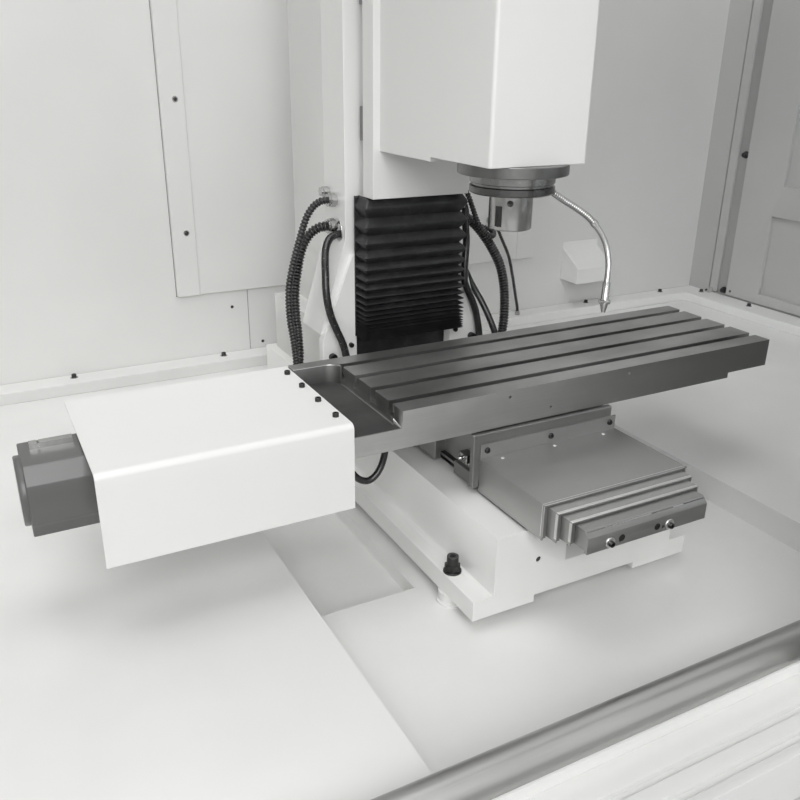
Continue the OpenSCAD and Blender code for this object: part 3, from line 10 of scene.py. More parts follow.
import bmesh
import bpy
import numpy as np
from mathutils import Matrix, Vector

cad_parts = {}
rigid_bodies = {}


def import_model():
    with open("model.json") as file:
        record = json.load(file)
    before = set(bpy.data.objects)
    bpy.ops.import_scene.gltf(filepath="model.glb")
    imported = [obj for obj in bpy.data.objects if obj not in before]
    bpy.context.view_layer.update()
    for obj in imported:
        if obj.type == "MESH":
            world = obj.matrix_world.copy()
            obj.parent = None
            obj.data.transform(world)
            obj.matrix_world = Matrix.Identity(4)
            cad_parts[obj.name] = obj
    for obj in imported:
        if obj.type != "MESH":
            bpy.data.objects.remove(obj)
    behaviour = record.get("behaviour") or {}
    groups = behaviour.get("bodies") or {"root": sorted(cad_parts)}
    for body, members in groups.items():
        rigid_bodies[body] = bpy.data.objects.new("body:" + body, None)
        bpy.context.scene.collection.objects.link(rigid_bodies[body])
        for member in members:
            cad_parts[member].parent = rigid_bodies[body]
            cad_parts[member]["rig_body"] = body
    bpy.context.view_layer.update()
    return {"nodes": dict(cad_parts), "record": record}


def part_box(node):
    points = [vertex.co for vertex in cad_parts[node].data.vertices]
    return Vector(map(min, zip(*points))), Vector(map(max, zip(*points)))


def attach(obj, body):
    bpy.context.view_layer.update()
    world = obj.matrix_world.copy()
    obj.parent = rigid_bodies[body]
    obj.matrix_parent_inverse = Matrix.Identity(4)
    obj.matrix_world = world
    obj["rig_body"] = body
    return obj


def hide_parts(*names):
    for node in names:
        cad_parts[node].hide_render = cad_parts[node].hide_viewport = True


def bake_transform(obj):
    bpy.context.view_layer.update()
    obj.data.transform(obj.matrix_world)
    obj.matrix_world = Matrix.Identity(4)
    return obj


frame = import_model()
NODES = frame["nodes"]
NODE_BODY = {n: o["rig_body"] for n, o in NODES.items()}

# Camera

CAMERA_AT = (-0.7904, -1.2499, 1.3217)
CAMERA_RIGHT = (0.884086, -0.467190, 0.011181)
CAMERA_DOWN = (-0.166724, -0.337670, -0.926381)
CAMERA_AHEAD = (0.436571, 0.817137, -0.376421)
CAMERA_LENS = 37.29
SENSOR = 36.0
CLIP_NEAR, CLIP_FAR = 0.02, 60


def place_camera():
    """Puts the camera at the photograph's point of view, square frame, no shift."""
    data = bpy.data.cameras.new("photo_view")
    data.sensor_fit = "HORIZONTAL"
    data.sensor_width = SENSOR
    data.lens = CAMERA_LENS
    data.clip_start = CLIP_NEAR
    data.clip_end = CLIP_FAR
    eye = bpy.data.objects.new("photo_view", data)
    bpy.context.scene.collection.objects.link(eye)
    rows = [[CAMERA_RIGHT[k], -CAMERA_DOWN[k], -CAMERA_AHEAD[k], CAMERA_AT[k]] for k in range(3)]
    eye.matrix_world = Matrix([*rows, [0, 0, 0, 1]])
    bpy.context.scene.camera = eye


place_camera()

# Finishes


class Val:
    """One shader value or colour. Python arithmetic on it adds Math nodes."""

    def __init__(self, finish, socket):
        self.finish = finish
        self.socket = socket

    def math(self, operation, other):
        return self.finish.node("ShaderNodeMath", {"operation": operation}, [self, other])

    def __add__(self, other):
        return self.math("ADD", other)

    def __mul__(self, other):
        return self.math("MULTIPLY", other)

    def ramp(self, a, b, to_a=0.0, to_b=1.0):
        """Smooth step of the value from a to b, given out between to_a and to_b."""
        return self.finish.node(
            "ShaderNodeMapRange",
            {"interpolation_type": "SMOOTHSTEP"},
            {"Value": self, "From Min": a, "From Max": b, "To Min": to_a, "To Max": to_b},
        )

    def parts(self):
        """The x, y and z values of a vector."""
        split = self.finish.node("ShaderNodeSeparateXYZ", {}, [self])
        return [Val(self.finish, s) for s in split.socket.node.outputs]


class Finish:
    """A material under construction around one Principled shader."""

    def __init__(self, name, color, roughness, metallic=0.0, **more):
        self.material = bpy.data.materials.new(name)
        self.material.use_nodes = True
        self.tree = self.material.node_tree
        self.shader = self.tree.nodes["Principled BSDF"]
        self.shader.inputs["Base Color"].default_value = (*color, 1.0)
        self.shader.inputs["Roughness"].default_value = roughness
        self.shader.inputs["Metallic"].default_value = metallic
        for socket, value in more.items():
            self.shader.inputs[socket.replace("_", " ")].default_value = value
        self.place = Val(self, self.tree.nodes.new("ShaderNodeTexCoord").outputs["Object"])

    def node(self, kind, settings, inputs, output=0):
        """Adds a node with its settings, joins its inputs by name or number, gives one output."""
        node = self.tree.nodes.new(kind)
        for key, value in settings.items():
            setattr(node, key, value)
        pairs = inputs.items() if isinstance(inputs, dict) else enumerate(inputs)
        for key, value in pairs:
            if isinstance(value, Val):
                self.tree.links.new(value.socket, node.inputs[key])
            else:
                node.inputs[key].default_value = value
        return Val(self, node.outputs[output])

    def noise(self, scale, detail=3.0, stretch=(1, 1, 1), rough=0.5):
        """Fractal noise, 0 to 1, on the piece's own place, finer along axes of larger stretch."""
        where = self.node("ShaderNodeMapping", {}, {"Vector": self.place, "Scale": stretch})
        return self.node(
            "ShaderNodeTexNoise",
            {},
            {"Vector": where, "Scale": scale, "Detail": detail, "Roughness": rough},
        )

    def blend(self, share, a, b):
        """Colour a where share is 0 and b where it is 1."""
        node = self.tree.nodes.new("ShaderNodeMix")
        node.data_type = "RGBA"
        for key, value in ((0, share), (6, a), (7, b)):
            if isinstance(value, Val):
                self.tree.links.new(value.socket, node.inputs[key])
            else:
                node.inputs[key].default_value = value if key == 0 else (*value[:3], 1.0)
        return Val(self, node.outputs[2])

    def feed(self, socket, value):
        """Joins a value to an input of the Principled shader."""
        self.tree.links.new(value.socket, self.shader.inputs[socket])

    def bump(self, height, distance, strength=1.0):
        """Fine relief from a height value."""
        normal = self.node(
            "ShaderNodeBump", {}, {"Strength": strength, "Distance": distance, "Height": height}
        )
        self.feed("Normal", normal)


def grey(value):
    """A very slightly warm grey."""
    return (value, value, value * 0.985)


def shade(color, factor):
    """The colour made lighter or darker, at most white."""
    return tuple(min(1.0, c * factor) for c in color[:3])


# Half widths of the soft edges between two tones of one piece
THIN_EDGE = 0.0002
BAND_EDGE = 0.0004
TROUGH_EDGE = 0.001
DARK_STEEL = grey(0.05)
# The table's trough and the plane of its front face
TROUGH_X = (-0.368, -0.262)
TROUGH_Y = (-0.264, -0.010)
TROUGH_TOP = 0.8495
TABLE_FACE = (-0.2665, -0.2668)
# Painted darkening of the front face's painted reflection, from none at the left to its most at
# the right
SHEEN_FALLOFF_X = (-0.2, 0.6)
SHEEN_FALLOFF_MOST = 0.85


def painted(
    name, color, roughness=0.4, patch=0.03, coat=0.0, grime=None, peel=0.12, dark_above=None
):
    """Sprayed paint: a faint large unevenness, fine orange peel, and dirt if given.

    Grime is (low, high, amount): it thickens from the upper height down to the lower one.
    Above the height dark_above the piece is bare dark steel.
    """
    f = Finish(name, color, roughness, Coat_Weight=coat, Coat_Roughness=0.12)
    cloud = f.noise(2.2, 3.0)
    tone = f.blend(cloud.ramp(0.3, 0.7), shade(color, 1 - patch), shade(color, 1 + patch))
    rough = f.noise(7, 3.0).ramp(0.25, 0.75, roughness - 0.03, roughness + 0.05)
    if grime:
        low, high, amount = grime
        height = f.place.parts()[2]
        mask = height.ramp(high, low) * f.noise(9, 5.0, rough=0.7).ramp(0.35, 0.8) * amount
        tone = f.blend(mask, tone, shade(color, 0.62))
    if dark_above:
        steel = f.place.parts()[2].ramp(dark_above - THIN_EDGE, dark_above + THIN_EDGE)
        tone = f.blend(steel, tone, DARK_STEEL)
    f.feed("Base Color", tone)
    f.feed("Roughness", rough)
    f.bump(f.noise(650, 1.0), 0.00006, peel)
    return f.material


def brushed(name, color, roughness, along, patch=0.12, fine=900, depth=0.00008, trough=False):
    """Ground metal: fine lines along one axis, with slow tonal patches.

    With a trough it is the table's: the trough is raw, dark and rougher, and the front face has a
    painted reflection: painted lighter at the left and painted darker towards the right.
    """
    f = Finish(name, color, roughness, 1.0)
    stretch = tuple(0.012 if k == along else 1.0 for k in range(3))
    line = f.noise(fine, 3.0, stretch, 0.65)
    cloud = f.noise(5.5, 4.0)
    wipe = f.noise(16, 4.0, tuple(0.3 if k == along else 1.0 for k in range(3)))
    share = cloud * 0.55 + wipe * 0.25 + line * 0.2
    tone = f.blend(share.ramp(0.3, 0.7), shade(color, 1 - patch), shade(color, 1 + patch))
    rough = (line * 0.6 + wipe * 0.4).ramp(0.2, 0.8, roughness - 0.07, roughness + 0.09)
    if trough:
        x, y, z = f.place.parts()
        edge = TROUGH_EDGE
        mask = x.ramp(TROUGH_X[1] + edge, TROUGH_X[1] - edge)
        mask = mask * z.ramp(TROUGH_TOP, TROUGH_TOP - edge)
        mask = mask * x.ramp(TROUGH_X[0] - edge, TROUGH_X[0] + edge)
        mask = mask * y.ramp(TROUGH_Y[0] - edge, TROUGH_Y[0] + edge)
        mask = mask * y.ramp(TROUGH_Y[1] + edge, TROUGH_Y[1] - edge)
        raw = f.blend(cloud.ramp(0.35, 0.65), shade(color, 0.20), shade(color, 0.36))
        tone = f.blend(mask, tone, raw)
        front = y.ramp(*TABLE_FACE)
        # Painted reflection: the front face is made lighter, then darker towards the right as the
        # reflection falls off
        painted_sheen = f.blend(share.ramp(0.3, 0.7), shade(color, 1.3), shade(color, 1.85))
        tone = f.blend(front, tone, painted_sheen)
        painted_falloff = front * (x + cloud * 0.3).ramp(*SHEEN_FALLOFF_X, 0.0, SHEEN_FALLOFF_MOST)
        tone = f.blend(painted_falloff, tone, shade(color, 0.3))
        rough = rough + mask * 0.2
    f.feed("Base Color", tone)
    f.feed("Roughness", rough)
    f.bump(line, depth, 0.5)
    return f.material


def plain_metal(name, color, roughness, patch=0.08, rings=0.0, band=None):
    """Turned or plated metal with slight patches.

    Rings are fine turning marks round Z: a noise of the height alone. A band is (height, colour):
    below that height the metal has the other colour.
    """
    f = Finish(name, color, roughness, 1.0)
    cloud = f.noise(40, 3.0)
    tone = f.blend(cloud.ramp(0.3, 0.7), shade(color, 1 - patch), shade(color, 1 + patch))
    if band:
        height, other = band
        below = f.place.parts()[2].ramp(height + BAND_EDGE, height - BAND_EDGE)
        tone = f.blend(below, tone, other)
    f.feed("Base Color", tone)
    f.feed("Roughness", f.noise(120, 2.0).ramp(0, 1, roughness - 0.04, roughness + 0.06))
    if rings:
        f.bump(f.noise(2600, 2.0, (0.01, 0.01, 1)), 0.00005, rings)
    return f.material


def rubbery(name, color, roughness, dust=0.0):
    """Rubber or plastic with a soft sheen and fine dust in patches."""
    f = Finish(name, color, roughness)
    cloud = f.noise(30, 5.0, rough=0.7)
    tone = f.blend(cloud.ramp(0.42, 0.8) * dust, color, shade((0.5, 0.5, 0.5), 0.5))
    f.feed("Base Color", tone)
    f.bump(f.noise(700, 2.0), 0.0001, 0.3)
    return f.material


def rib_highlight_finish(name, crest, groove, roughness, metallic):
    """Crest colour on the ribs as painted highlight and groove colour between as painted shade, by
    the piece's rib attribute, 0 to 1.
    """
    f = Finish(name, crest, roughness, metallic)
    rib = f.node("ShaderNodeAttribute", {"attribute_name": "rib"}, {}, 2)
    patchy = f.noise(35, 4.0, rough=0.7).ramp(0.4, 0.8, 1.0, 0.8)
    f.feed("Base Color", f.blend(rib * patchy, groove, crest))
    f.feed("Roughness", f.noise(60, 2.0).ramp(0, 1, roughness - 0.04, roughness + 0.1))
    return f.material


def clear_pane():
    """Clear plastic for the windows."""
    f = Finish("clear_pane", (0.9, 0.95, 0.96), 0.03, Transmission_Weight=1.0, IOR=1.3)
    f.shader.inputs["Alpha"].default_value = 0.35
    return f.material


PAD_TOP_Z = 0.587
# The nose is darker below this height
NOSE_BAND = (1.146, grey(0.13))
X_AXIS = 0
# Relief of metal that is only finely brushed
FINE = 0.00001

LOOK = {
    "wall": painted("wall_paint", grey(0.77), 0.42, grime=(0.55, 0.75, 0.08)),
    # The right wall and service door: the wall paint darkened as painted shade, for the less light
    # that reaches them
    "shaded_right_wall": painted("right_wall_painted_shade", grey(0.52), 0.42, grime=(0.55, 0.75, 0.10)),
    "seam": painted("seam_shadow", grey(0.22), 0.6, patch=0.1),
    "hood": painted("hood_paint", grey(0.88), 0.42, patch=0.01),
    "tray": painted("tray_paint", grey(0.86), 0.4, patch=0.05, grime=(0.5, 0.62, 0.10)),
    "stand": painted("stand_paint", grey(0.56), 0.45, grime=(0.05, 0.4, 0.35)),
    "casting": painted(
        "casting_paint", grey(0.85), 0.36, patch=0.012, coat=0.05, grime=(0.53, 0.62, 0.12)
    ),
    "head": painted("head_paint", grey(0.77), 0.36, patch=0.008, coat=0.05),
    "column": painted(
        "column_paint", grey(0.82), 0.36, patch=0.012, coat=0.05, grime=(0.68, 0.8, 0.15)
    ),
    "cover": painted("cover_paint", grey(0.86), 0.42, patch=0.008, peel=0.05),
    "pad": painted("pad_paint", grey(0.78), 0.4, patch=0.02, dark_above=PAD_TOP_Z),
    "table": brushed("ground_table", grey(0.43), 0.36, X_AXIS, patch=0.3, trough=True),
    "saddle": brushed("saddle_steel", grey(0.30), 0.42, X_AXIS, patch=0.14, fine=700),
    "steel_x": brushed("brushed_steel_x", grey(0.38), 0.38, X_AXIS, patch=0.06, depth=FINE),
    "steel_y": brushed("brushed_steel_y", grey(0.45), 0.40, X_AXIS, patch=0.06, depth=FINE),
    # Bright metal for rivets and washers; on the hems the brightness is a painted highlight of the
    # rolled front edges
    "hem": plain_metal("bright_metal_and_hem_highlight", grey(0.85), 0.3, patch=0.04),
    "rail": plain_metal("rail_steel", grey(0.55), 0.2),
    "chrome": plain_metal("bright_chrome", grey(0.44), 0.17, patch=0.15),
    # Chrome neck: the lighter rib crests are painted highlight and the darker grooves painted
    # shade
    "neck": rib_highlight_finish("neck_chrome", grey(0.62), grey(0.16), 0.2, 1.0),
    "nose": plain_metal("spindle_nose", grey(0.27), 0.24, rings=0.2, band=NOSE_BAND),
    "turned": plain_metal("turned_steel", grey(0.42), 0.22, rings=0.2),
    "flange": plain_metal("flange_steel", grey(0.2), 0.3, rings=0.15),
    "dark_steel": plain_metal("dark_steel", grey(0.06), 0.36),
    "iron": painted("machined_iron", grey(0.2), 0.45, patch=0.12),
    "motor": painted("motor_paint", grey(0.115), 0.36, patch=0.05, coat=0.1),
    "black": painted("black_trim", grey(0.03), 0.4, patch=0.1),
    "bellows": rubbery("bellows_cloth", (0.012, 0.012, 0.013), 0.48, 0.1),
    "rubber": rubbery("black_rubber", (0.012, 0.012, 0.012), 0.5, 0.15),
    "conduit": rubbery("black_conduit", (0.016, 0.016, 0.016), 0.27, 0.1),
    # Ribbed conduit: the lighter rib crests are painted highlight and the darker grooves painted
    # shade
    "ribbed": rib_highlight_finish("ribbed_conduit", grey(0.05), grey(0.004), 0.24, 0.0),
    "wrap": rubbery("wrap_plastic", (0.2, 0.2, 0.2), 0.35, 0.1),
    "sill": brushed("sill_metal", grey(0.42), 0.33, X_AXIS, patch=0.05, depth=FINE),
    "pane": clear_pane(),
}

# The nodes that each look dresses
LOOK_NODES = {
    "stand": "machine_stand",
    "iron": "levelling_feet screw_bearings saddle_carriages x_motor_bracket head_carriages",
    "tray": "chip_tray wall_ledge",
    "wall": "rear_wall left_wall rear_cover_panel front_frame outer_door inner_door",
    "shaded_right_wall": "right_wall service_door",
    "hood": "duct_hood",
    "sill": "sill_rail",
    "pane": "outer_window inner_window",
    "black": "outer_door_handle inner_door_handle",
    "casting": "base_casting",
    "pad": "base_pads",
    "rail": "y_rails y_ball_screw x_rails x_ball_screw z_rails z_ball_screw",
    "motor": "axis_motors x_motor spindle_motor",
    "saddle": "saddle",
    "chrome": "lube_block x_motor_plug hose_fittings coolant_gooseneck",
    "steel_y": "way_cover_box way_cover_middle way_cover_small",
    "steel_x": "way_cover_end",
    "table": "table",
    "cover": "x_motor_cover",
    "conduit": "x_motor_cable conduit_upper conduit_lower cable_left conduit_right conduit_loop "
               "conduit_wall cable_right_a cable_right_b",
    "column": "column",
    "rubber": "rubber_apron",
    "head": "spindle_head",
    "flange": "spindle_cartridge",
    "nose": "spindle",
    "turned": "tool_holder",
    "bellows": "bellows",
}
NODE_LOOK = {node: look for look, nodes in LOOK_NODES.items() for node in nodes.split()}

for node_name, look_name in NODE_LOOK.items():
    NODES[node_name].data.materials.clear()
    NODES[node_name].data.materials.append(LOOK[look_name])

# Making pieces


def slot_of(node):
    """The record's material slot of a node."""
    return next(s["material_slot"] for s in frame["record"]["subparts"] if s["node"] == node)


def piece_from(name, points, faces, look, body, smooth_below=32.0):
    """A mesh piece from points and faces, smooth where it bends by less than the angle.

    One without a body is attached to none.
    """
    mesh = bpy.data.meshes.new(name)
    mesh.from_pydata(np.asarray(points, float).tolist(), [], faces)
    mesh.update()
    return settle(name, mesh, look, body, smooth_below)


def settle(name, mesh, look, body, smooth_below=32.0):
    """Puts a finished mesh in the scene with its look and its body."""
    mesh.polygons.foreach_set("use_smooth", [True] * len(mesh.polygons))
    mesh.set_sharp_from_angle(angle=math.radians(smooth_below))
    piece = bpy.data.objects.new(name, mesh)
    bpy.context.scene.collection.objects.link(piece)
    mesh.materials.append(LOOK[look])
    if body:
        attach(piece, body)
    return piece


def mark_ribs(piece, values):
    """Gives each point of a piece its rib value; points past the end of the array get 1."""
    full = np.ones(len(piece.data.vertices))
    full[: len(values)] = values
    piece.data.attributes.new("rib", "FLOAT", "POINT").data.foreach_set("value", full)


def grid_faces(rows, columns, close_columns=True):
    """Quads of a grid of points numbered row by row.

    Closed columns join the last column to the first.
    """
    i = np.arange(rows - 1)
    k = np.arange(columns if close_columns else columns - 1)
    i, k = (a.ravel() for a in np.meshgrid(i, k, indexing="ij"))
    i2, k2 = i + 1, (k + 1) % columns
    quads = np.stack([i * columns + k, i * columns + k2, i2 * columns + k2, i2 * columns + k], 1)
    return quads.tolist()


def tube_faces(rows, sides):
    """Faces of a closed tube: its rings' quads, its near end and its far end."""
    near = list(range(sides))[::-1]
    far = [(rows - 1) * sides + k for k in range(sides)]
    return [*grid_faces(rows, sides), near, far]


def merge(parts):
    """One array of points and one list of faces from several."""
    points, faces, start = [], [], 0
    for p, f in parts:
        p = np.asarray(p, float).reshape(-1, 3)
        points.append(p)
        faces += [[v + start for v in face] for face in f]
        start += len(p)
    return np.concatenate(points), faces


NEARLY_UPRIGHT = 0.9


def frame_for(axis):
    """Two unit vectors square to the axis, and the axis: columns of a right-handed frame."""
    w = np.asarray(axis, float)
    w = w / np.linalg.norm(w)
    helper = np.array([0.0, 0, 1]) if abs(w[2]) < NEARLY_UPRIGHT else np.array([1.0, 0, 0])
    u = np.cross(helper, w)
    u /= np.linalg.norm(u)
    return np.stack([u, np.cross(w, u), w], 1)


def turned_shape(profile, at, axis=(0, 0, 1), sides=24, hexes=()):
    """A profile of (radius, height) turned about an axis through a point.

    The radius at an angle is the profile's, but for the numbered points in hexes it is that of a
    hexagon of that inner radius: r / cos((angle + 30) mod 60 - 30), in degrees.
    """
    profile = np.asarray(profile, float)
    angle = np.linspace(0, 2 * np.pi, sides, endpoint=False)
    six = 1 / np.cos((angle + np.pi / 6) % (np.pi / 3) - np.pi / 6)
    r = np.repeat(profile[:, :1], sides, 1)
    for row in hexes:
        r[row] = profile[row, 0] * six
    height = np.repeat(profile[:, 1:], sides, 1)
    local = np.stack([r * np.cos(angle), r * np.sin(angle), height], 2)
    points = local.reshape(-1, 3) @ frame_for(axis).T + np.asarray(at, float)
    return points, tube_faces(len(profile), sides)


def socket_head(at, axis, d, h, sides=24):
    """A socket-head screw's head: a cylinder with a hexagonal hole in its top."""
    r = d / 2
    profile = [
        (r, 0), (r, h * 0.88), (r * 0.9, h), (r * 0.56, h), (r * 0.5, h), (r * 0.5, h * 0.35),
        (r * 0.05, h * 0.3),
    ]
    return turned_shape(profile, at, axis, sides, hexes=(4, 5))


def washer(at, axis, d, t, sides=28):
    """A flat ring with a broken outer edge; its hole is a shallow dip under the screw."""
    r = d / 2
    profile = [(r, 0), (r, t * 0.7), (r * 0.96, t), (r * 0.3, t), (r * 0.3, t * 0.9)]
    return turned_shape(profile, at, axis, sides)


def hex_head(at, axis, d, h, sides=36):
    """A hexagonal head with a broken top edge."""
    r = d / 2
    profile = [(r, 0), (r, h * 0.8), (r * 0.93, h), (r * 0.05, h)]
    return turned_shape(profile, at, axis, sides, hexes=(0, 1, 2))


def pan_head(at, axis, d, h, sides=20):
    """A low domed screw head with a recess in its middle."""
    r = d / 2
    profile = [
        (r, 0), (r, h * 0.35), (r * 0.8, h * 0.8), (r * 0.4, h), (r * 0.28, h),
        (r * 0.24, h * 0.4), (r * 0.04, h * 0.35),
    ]
    return turned_shape(profile, at, axis, sides)


def box_shape(low, high):
    """The eight corners and six faces of a box."""
    low, high = np.asarray(low, float), np.asarray(high, float)
    corner = np.array([[i, j, k] for i in (0, 1) for j in (0, 1) for k in (0, 1)])
    faces = [[0, 1, 3, 2], [4, 6, 7, 5], [0, 4, 5, 1], [2, 3, 7, 6], [0, 2, 6, 4], [1, 5, 7, 3]]
    return low + corner * (high - low), faces


def mm(*values):
    """An array in metres of places or lengths typed in millimetres."""
    return np.array(values, float) * 0.001


def set_of(name, shapes, look, body, smooth_below=32.0):
    """One piece from several shapes of the same kind."""
    points, faces = merge(shapes)
    return piece_from(name, points, faces, look, body, smooth_below)


FRONT, LEFT, UP, DOWN = (0, -1, 0), (-1, 0, 0), (0, 0, 1), (0, 0, -1)
KNOT_STEPS = 24


def curve_through(knots, step):
    """A smooth curve through the knots, sampled evenly by length.

    For the four knots a, b, c and d around a span and t from 0 to 1 it is half of
    2 b + (c - a) t + (2 a - 5 b + 4 c - d) t ** 2 + (3 b - a - 3 c + d) t ** 3.
    The first and last spans use a knot carried straight outwards.
    """
    k = np.asarray(knots, float)
    k = np.concatenate([[2 * k[0] - k[1]], k, [2 * k[-1] - k[-2]]])
    t = np.linspace(0, 1, KNOT_STEPS, endpoint=False)[:, None]
    runs = []
    for a, b, c, d in zip(k[:-3], k[1:-2], k[2:-1], k[3:]):
        square = 2 * a - 5 * b + 4 * c - d
        cube = 3 * b - a - 3 * c + d
        runs.append(0.5 * ((2 * b) + (c - a) * t + square * t**2 + cube * t**3))
    line = np.concatenate(runs + [k[-2:-1]])
    length = np.concatenate([[0], np.cumsum(np.linalg.norm(np.diff(line, axis=0), axis=1))])
    even = np.linspace(0, length[-1], max(2, int(round(length[-1] / step)) + 1))
    return np.stack([np.interp(even, length, line[:, j]) for j in range(3)], 1), even


def carried_frames(path):
    """Frames carried along a path without twist: each is the last, turned by the bend between."""
    ahead = np.gradient(path, axis=0)
    ahead /= np.linalg.norm(ahead, axis=1)[:, None]
    side = frame_for(ahead[0])[:, 0]
    sides = []
    for t in ahead:
        side = side - t * (side @ t)
        side /= np.linalg.norm(side)
        sides.append(side)
    sides = np.array(sides)
    return sides, np.cross(ahead, sides)


def swept_tube(path, radius, sides):
    """A round tube along a path: point + radius * (cos a * side + sin a * up).

    The radius is one number, one for each point, or one for each point and side.
    """
    u, v = carried_frames(path)
    angle = np.linspace(0, 2 * np.pi, sides, endpoint=False)
    ring = np.cos(angle)[None, :, None] * u[:, None] + np.sin(angle)[None, :, None] * v[:, None]
    r = np.asarray(radius, float)
    r = np.broadcast_to(r[:, None] if r.ndim == 1 else r, (len(path), sides))
    points = (path[:, None] + r[..., None] * ring).reshape(-1, 3)
    return points, tube_faces(len(path), sides)


SAME_POINT = 2e-6
FLAT_ANGLE = math.radians(0.4)
OUTER_CORNER = math.radians(35)


def softened(node, chamfer):
    """Stands for a node: its own shape with its outer edges broken by a small chamfer."""
    mesh = NODES[node].data.copy()
    bm = bmesh.new()
    bm.from_mesh(mesh)
    bmesh.ops.remove_doubles(bm, verts=bm.verts, dist=SAME_POINT)
    bmesh.ops.dissolve_limit(bm, angle_limit=FLAT_ANGLE, verts=bm.verts, edges=bm.edges)
    edges = [
        e for e in bm.edges
        if len(e.link_faces) == 2 and e.is_convex and e.calc_face_angle(0) > OUTER_CORNER
    ]
    bmesh.ops.bevel(
        bm, geom=edges, offset=chamfer, offset_type="OFFSET", segments=1, profile=0.5,
        affect="EDGES", clamp_overlap=True,
    )
    bm.to_mesh(mesh)
    bm.free()
    mesh.name = node + "_softened"
    mesh.materials.clear()
    piece = settle(node + "_softened", mesh, NODE_LOOK[node], NODE_BODY[node], 28)
    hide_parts(node)


EDGES_MM = {
    "table": 1.2, "base_casting": 3.0, "saddle": 1.2, "column": 2.0, "spindle_head": 1.5,
    "x_motor": 1.5, "tool_holder": 0.6, "spindle_cartridge": 1.0, "spindle": 0.6,
    "wall_ledge": 1.5, "duct_hood": 1.2, "service_door": 1.5, "rear_cover_panel": 1.0,
    "front_frame": 1.5, "outer_door": 1.5, "inner_door": 1.5, "way_cover_end": 0.6,
    "lube_block": 0.6, "x_motor_bracket": 1.0,
}
for node_name, edge_mm in EDGES_MM.items():
    softened(node_name, edge_mm / 1000)

# Conduits and cables

# Each cord's diameter in metres and the knots of its middle line in millimetres
ROUTES = {
    "conduit_upper": (0.015, [
        (-146, 266, 1073), (-160, 266, 1072), (-176, 264, 1064), (-191, 261, 1047),
        (-202, 258, 1025), (-212, 256, 999), (-221, 255, 973), (-232, 254, 935), (-238, 253, 900),
        (-238, 252, 850), (-232, 251, 800), (-228, 252, 750), (-232, 258, 700), (-242, 270, 650),
        (-252, 284, 600), (-259, 292, 555), (-260, 293, 518)]),
    "conduit_lower": (0.020, [
        (-146, 271, 1022), (-161, 271, 1021), (-178, 273, 1012), (-192, 275, 995),
        (-202, 277, 970), (-209, 279, 935), (-215, 280, 895), (-215, 281, 850), (-211, 282, 800),
        (-210, 284, 750), (-216, 294, 700), (-232, 312, 650), (-252, 334, 600), (-263, 346, 555),
        (-264, 348, 518)]),
    "cable_left": (0.015, [
        (-119, 251, 1008), (-136, 251, 1008), (-152, 247, 1001), (-164, 237, 985),
        (-171, 225, 963), (-176, 213, 939), (-179, 205, 913), (-178, 200, 886), (-172, 198, 858),
        (-162, 196, 831), (-151, 194, 804), (-144, 192, 775), (-144, 191, 745), (-151, 191, 716),
        (-156, 191, 693)]),
    "conduit_right": (0.022, [
        (142, 262, 1022), (160, 262, 1021), (181, 262, 1013), (203, 262, 995), (226, 262, 969),
        (249, 262, 937), (267, 262, 905), (279, 262, 865), (285, 262, 820), (286, 263, 770),
        (281, 267, 720), (272, 275, 670), (263, 286, 620), (257, 294, 570), (255, 296, 518)]),
    "x_motor_cable": (0.011, [
        (-324, -200, 806), (-326, -200, 782), (-324, -202, 758), (-316, -204, 736),
        (-303, -206, 720), (-287, -206, 714), (-273, -206, 722), (-262, -204, 738),
        (-256, -202, 760), (-256, -200, 784), (-260, -200, 806)]),
    "conduit_loop": (0.012, [
        (146, 240, 1083), (155, 240, 1077), (163, 239, 1063), (171, 238, 1044), (180, 238, 1024),
        (191, 238, 1004), (205, 238, 989), (220, 241, 979), (234, 248, 977), (243, 259, 980),
        (244, 271, 984), (236, 282, 988), (222, 290, 993), (205, 295, 1000), (188, 298, 1006),
        (171, 299, 1010), (158, 299, 1012), (146, 299, 1012)]),
    "conduit_wall": (0.010, [
        (579, 759, 903), (579, 751, 902), (580, 745, 896), (584, 742, 886), (591, 740, 872),
        (600, 740, 855), (610, 740, 837), (620, 740, 819), (630, 740, 798), (638, 740, 775),
        (645, 740, 750), (652, 740, 724), (659, 741, 698), (666, 742, 672), (673, 743, 648),
        (677, 744, 632), (678, 744, 620)]),
    "cable_right_a": (0.014, [
        (124, 350, 960), (133, 350, 959), (144, 345, 955), (154, 332, 950), (161, 314, 944),
        (165, 292, 937), (166, 272, 927), (167, 258, 916), (171, 250, 902), (179, 247, 884),
        (189, 240, 863), (198, 229, 842), (206, 215, 817), (213, 203, 791), (217, 196, 772),
        (215, 191, 750), (205, 190, 730), (190, 189, 714), (175, 188, 702), (166, 188, 692)]),
    "cable_right_b": (0.015, [
        (146, 238, 1052), (152, 237, 1045), (152, 233, 1030), (149, 226, 1005), (145, 215, 980),
        (140, 208, 955), (136, 203, 925), (136, 200, 896), (145, 200, 875), (156, 200, 854),
        (165, 200, 833), (171, 200, 812), (175, 199, 791), (176, 196, 772), (174, 193, 750),
        (167, 191, 730), (155, 189, 714), (145, 188, 702), (141, 188, 692)]),
}
RIB_PITCH = 0.0068
RIB_DEPTH = 0.0028
RIB_DEPTH_SHARE = 0.15
RIB_STEPS = 6
WRAP_PITCH = 0.019
WRAP_RADIUS = 0.0007
SMOOTH_STEP = 0.004
HOSE_SIDES = 20


def wrap_line(path, along, radius, pitch, thick):
    """A thin line wound round a path.

    It is point + radius * (cos a * side + sin a * up), with a = 2 pi s / pitch.
    """
    u, v = carried_frames(path)
    a = 2 * np.pi * along[:, None] / pitch
    return swept_tube(path + radius * (np.cos(a) * u + np.sin(a) * v), thick, 6)


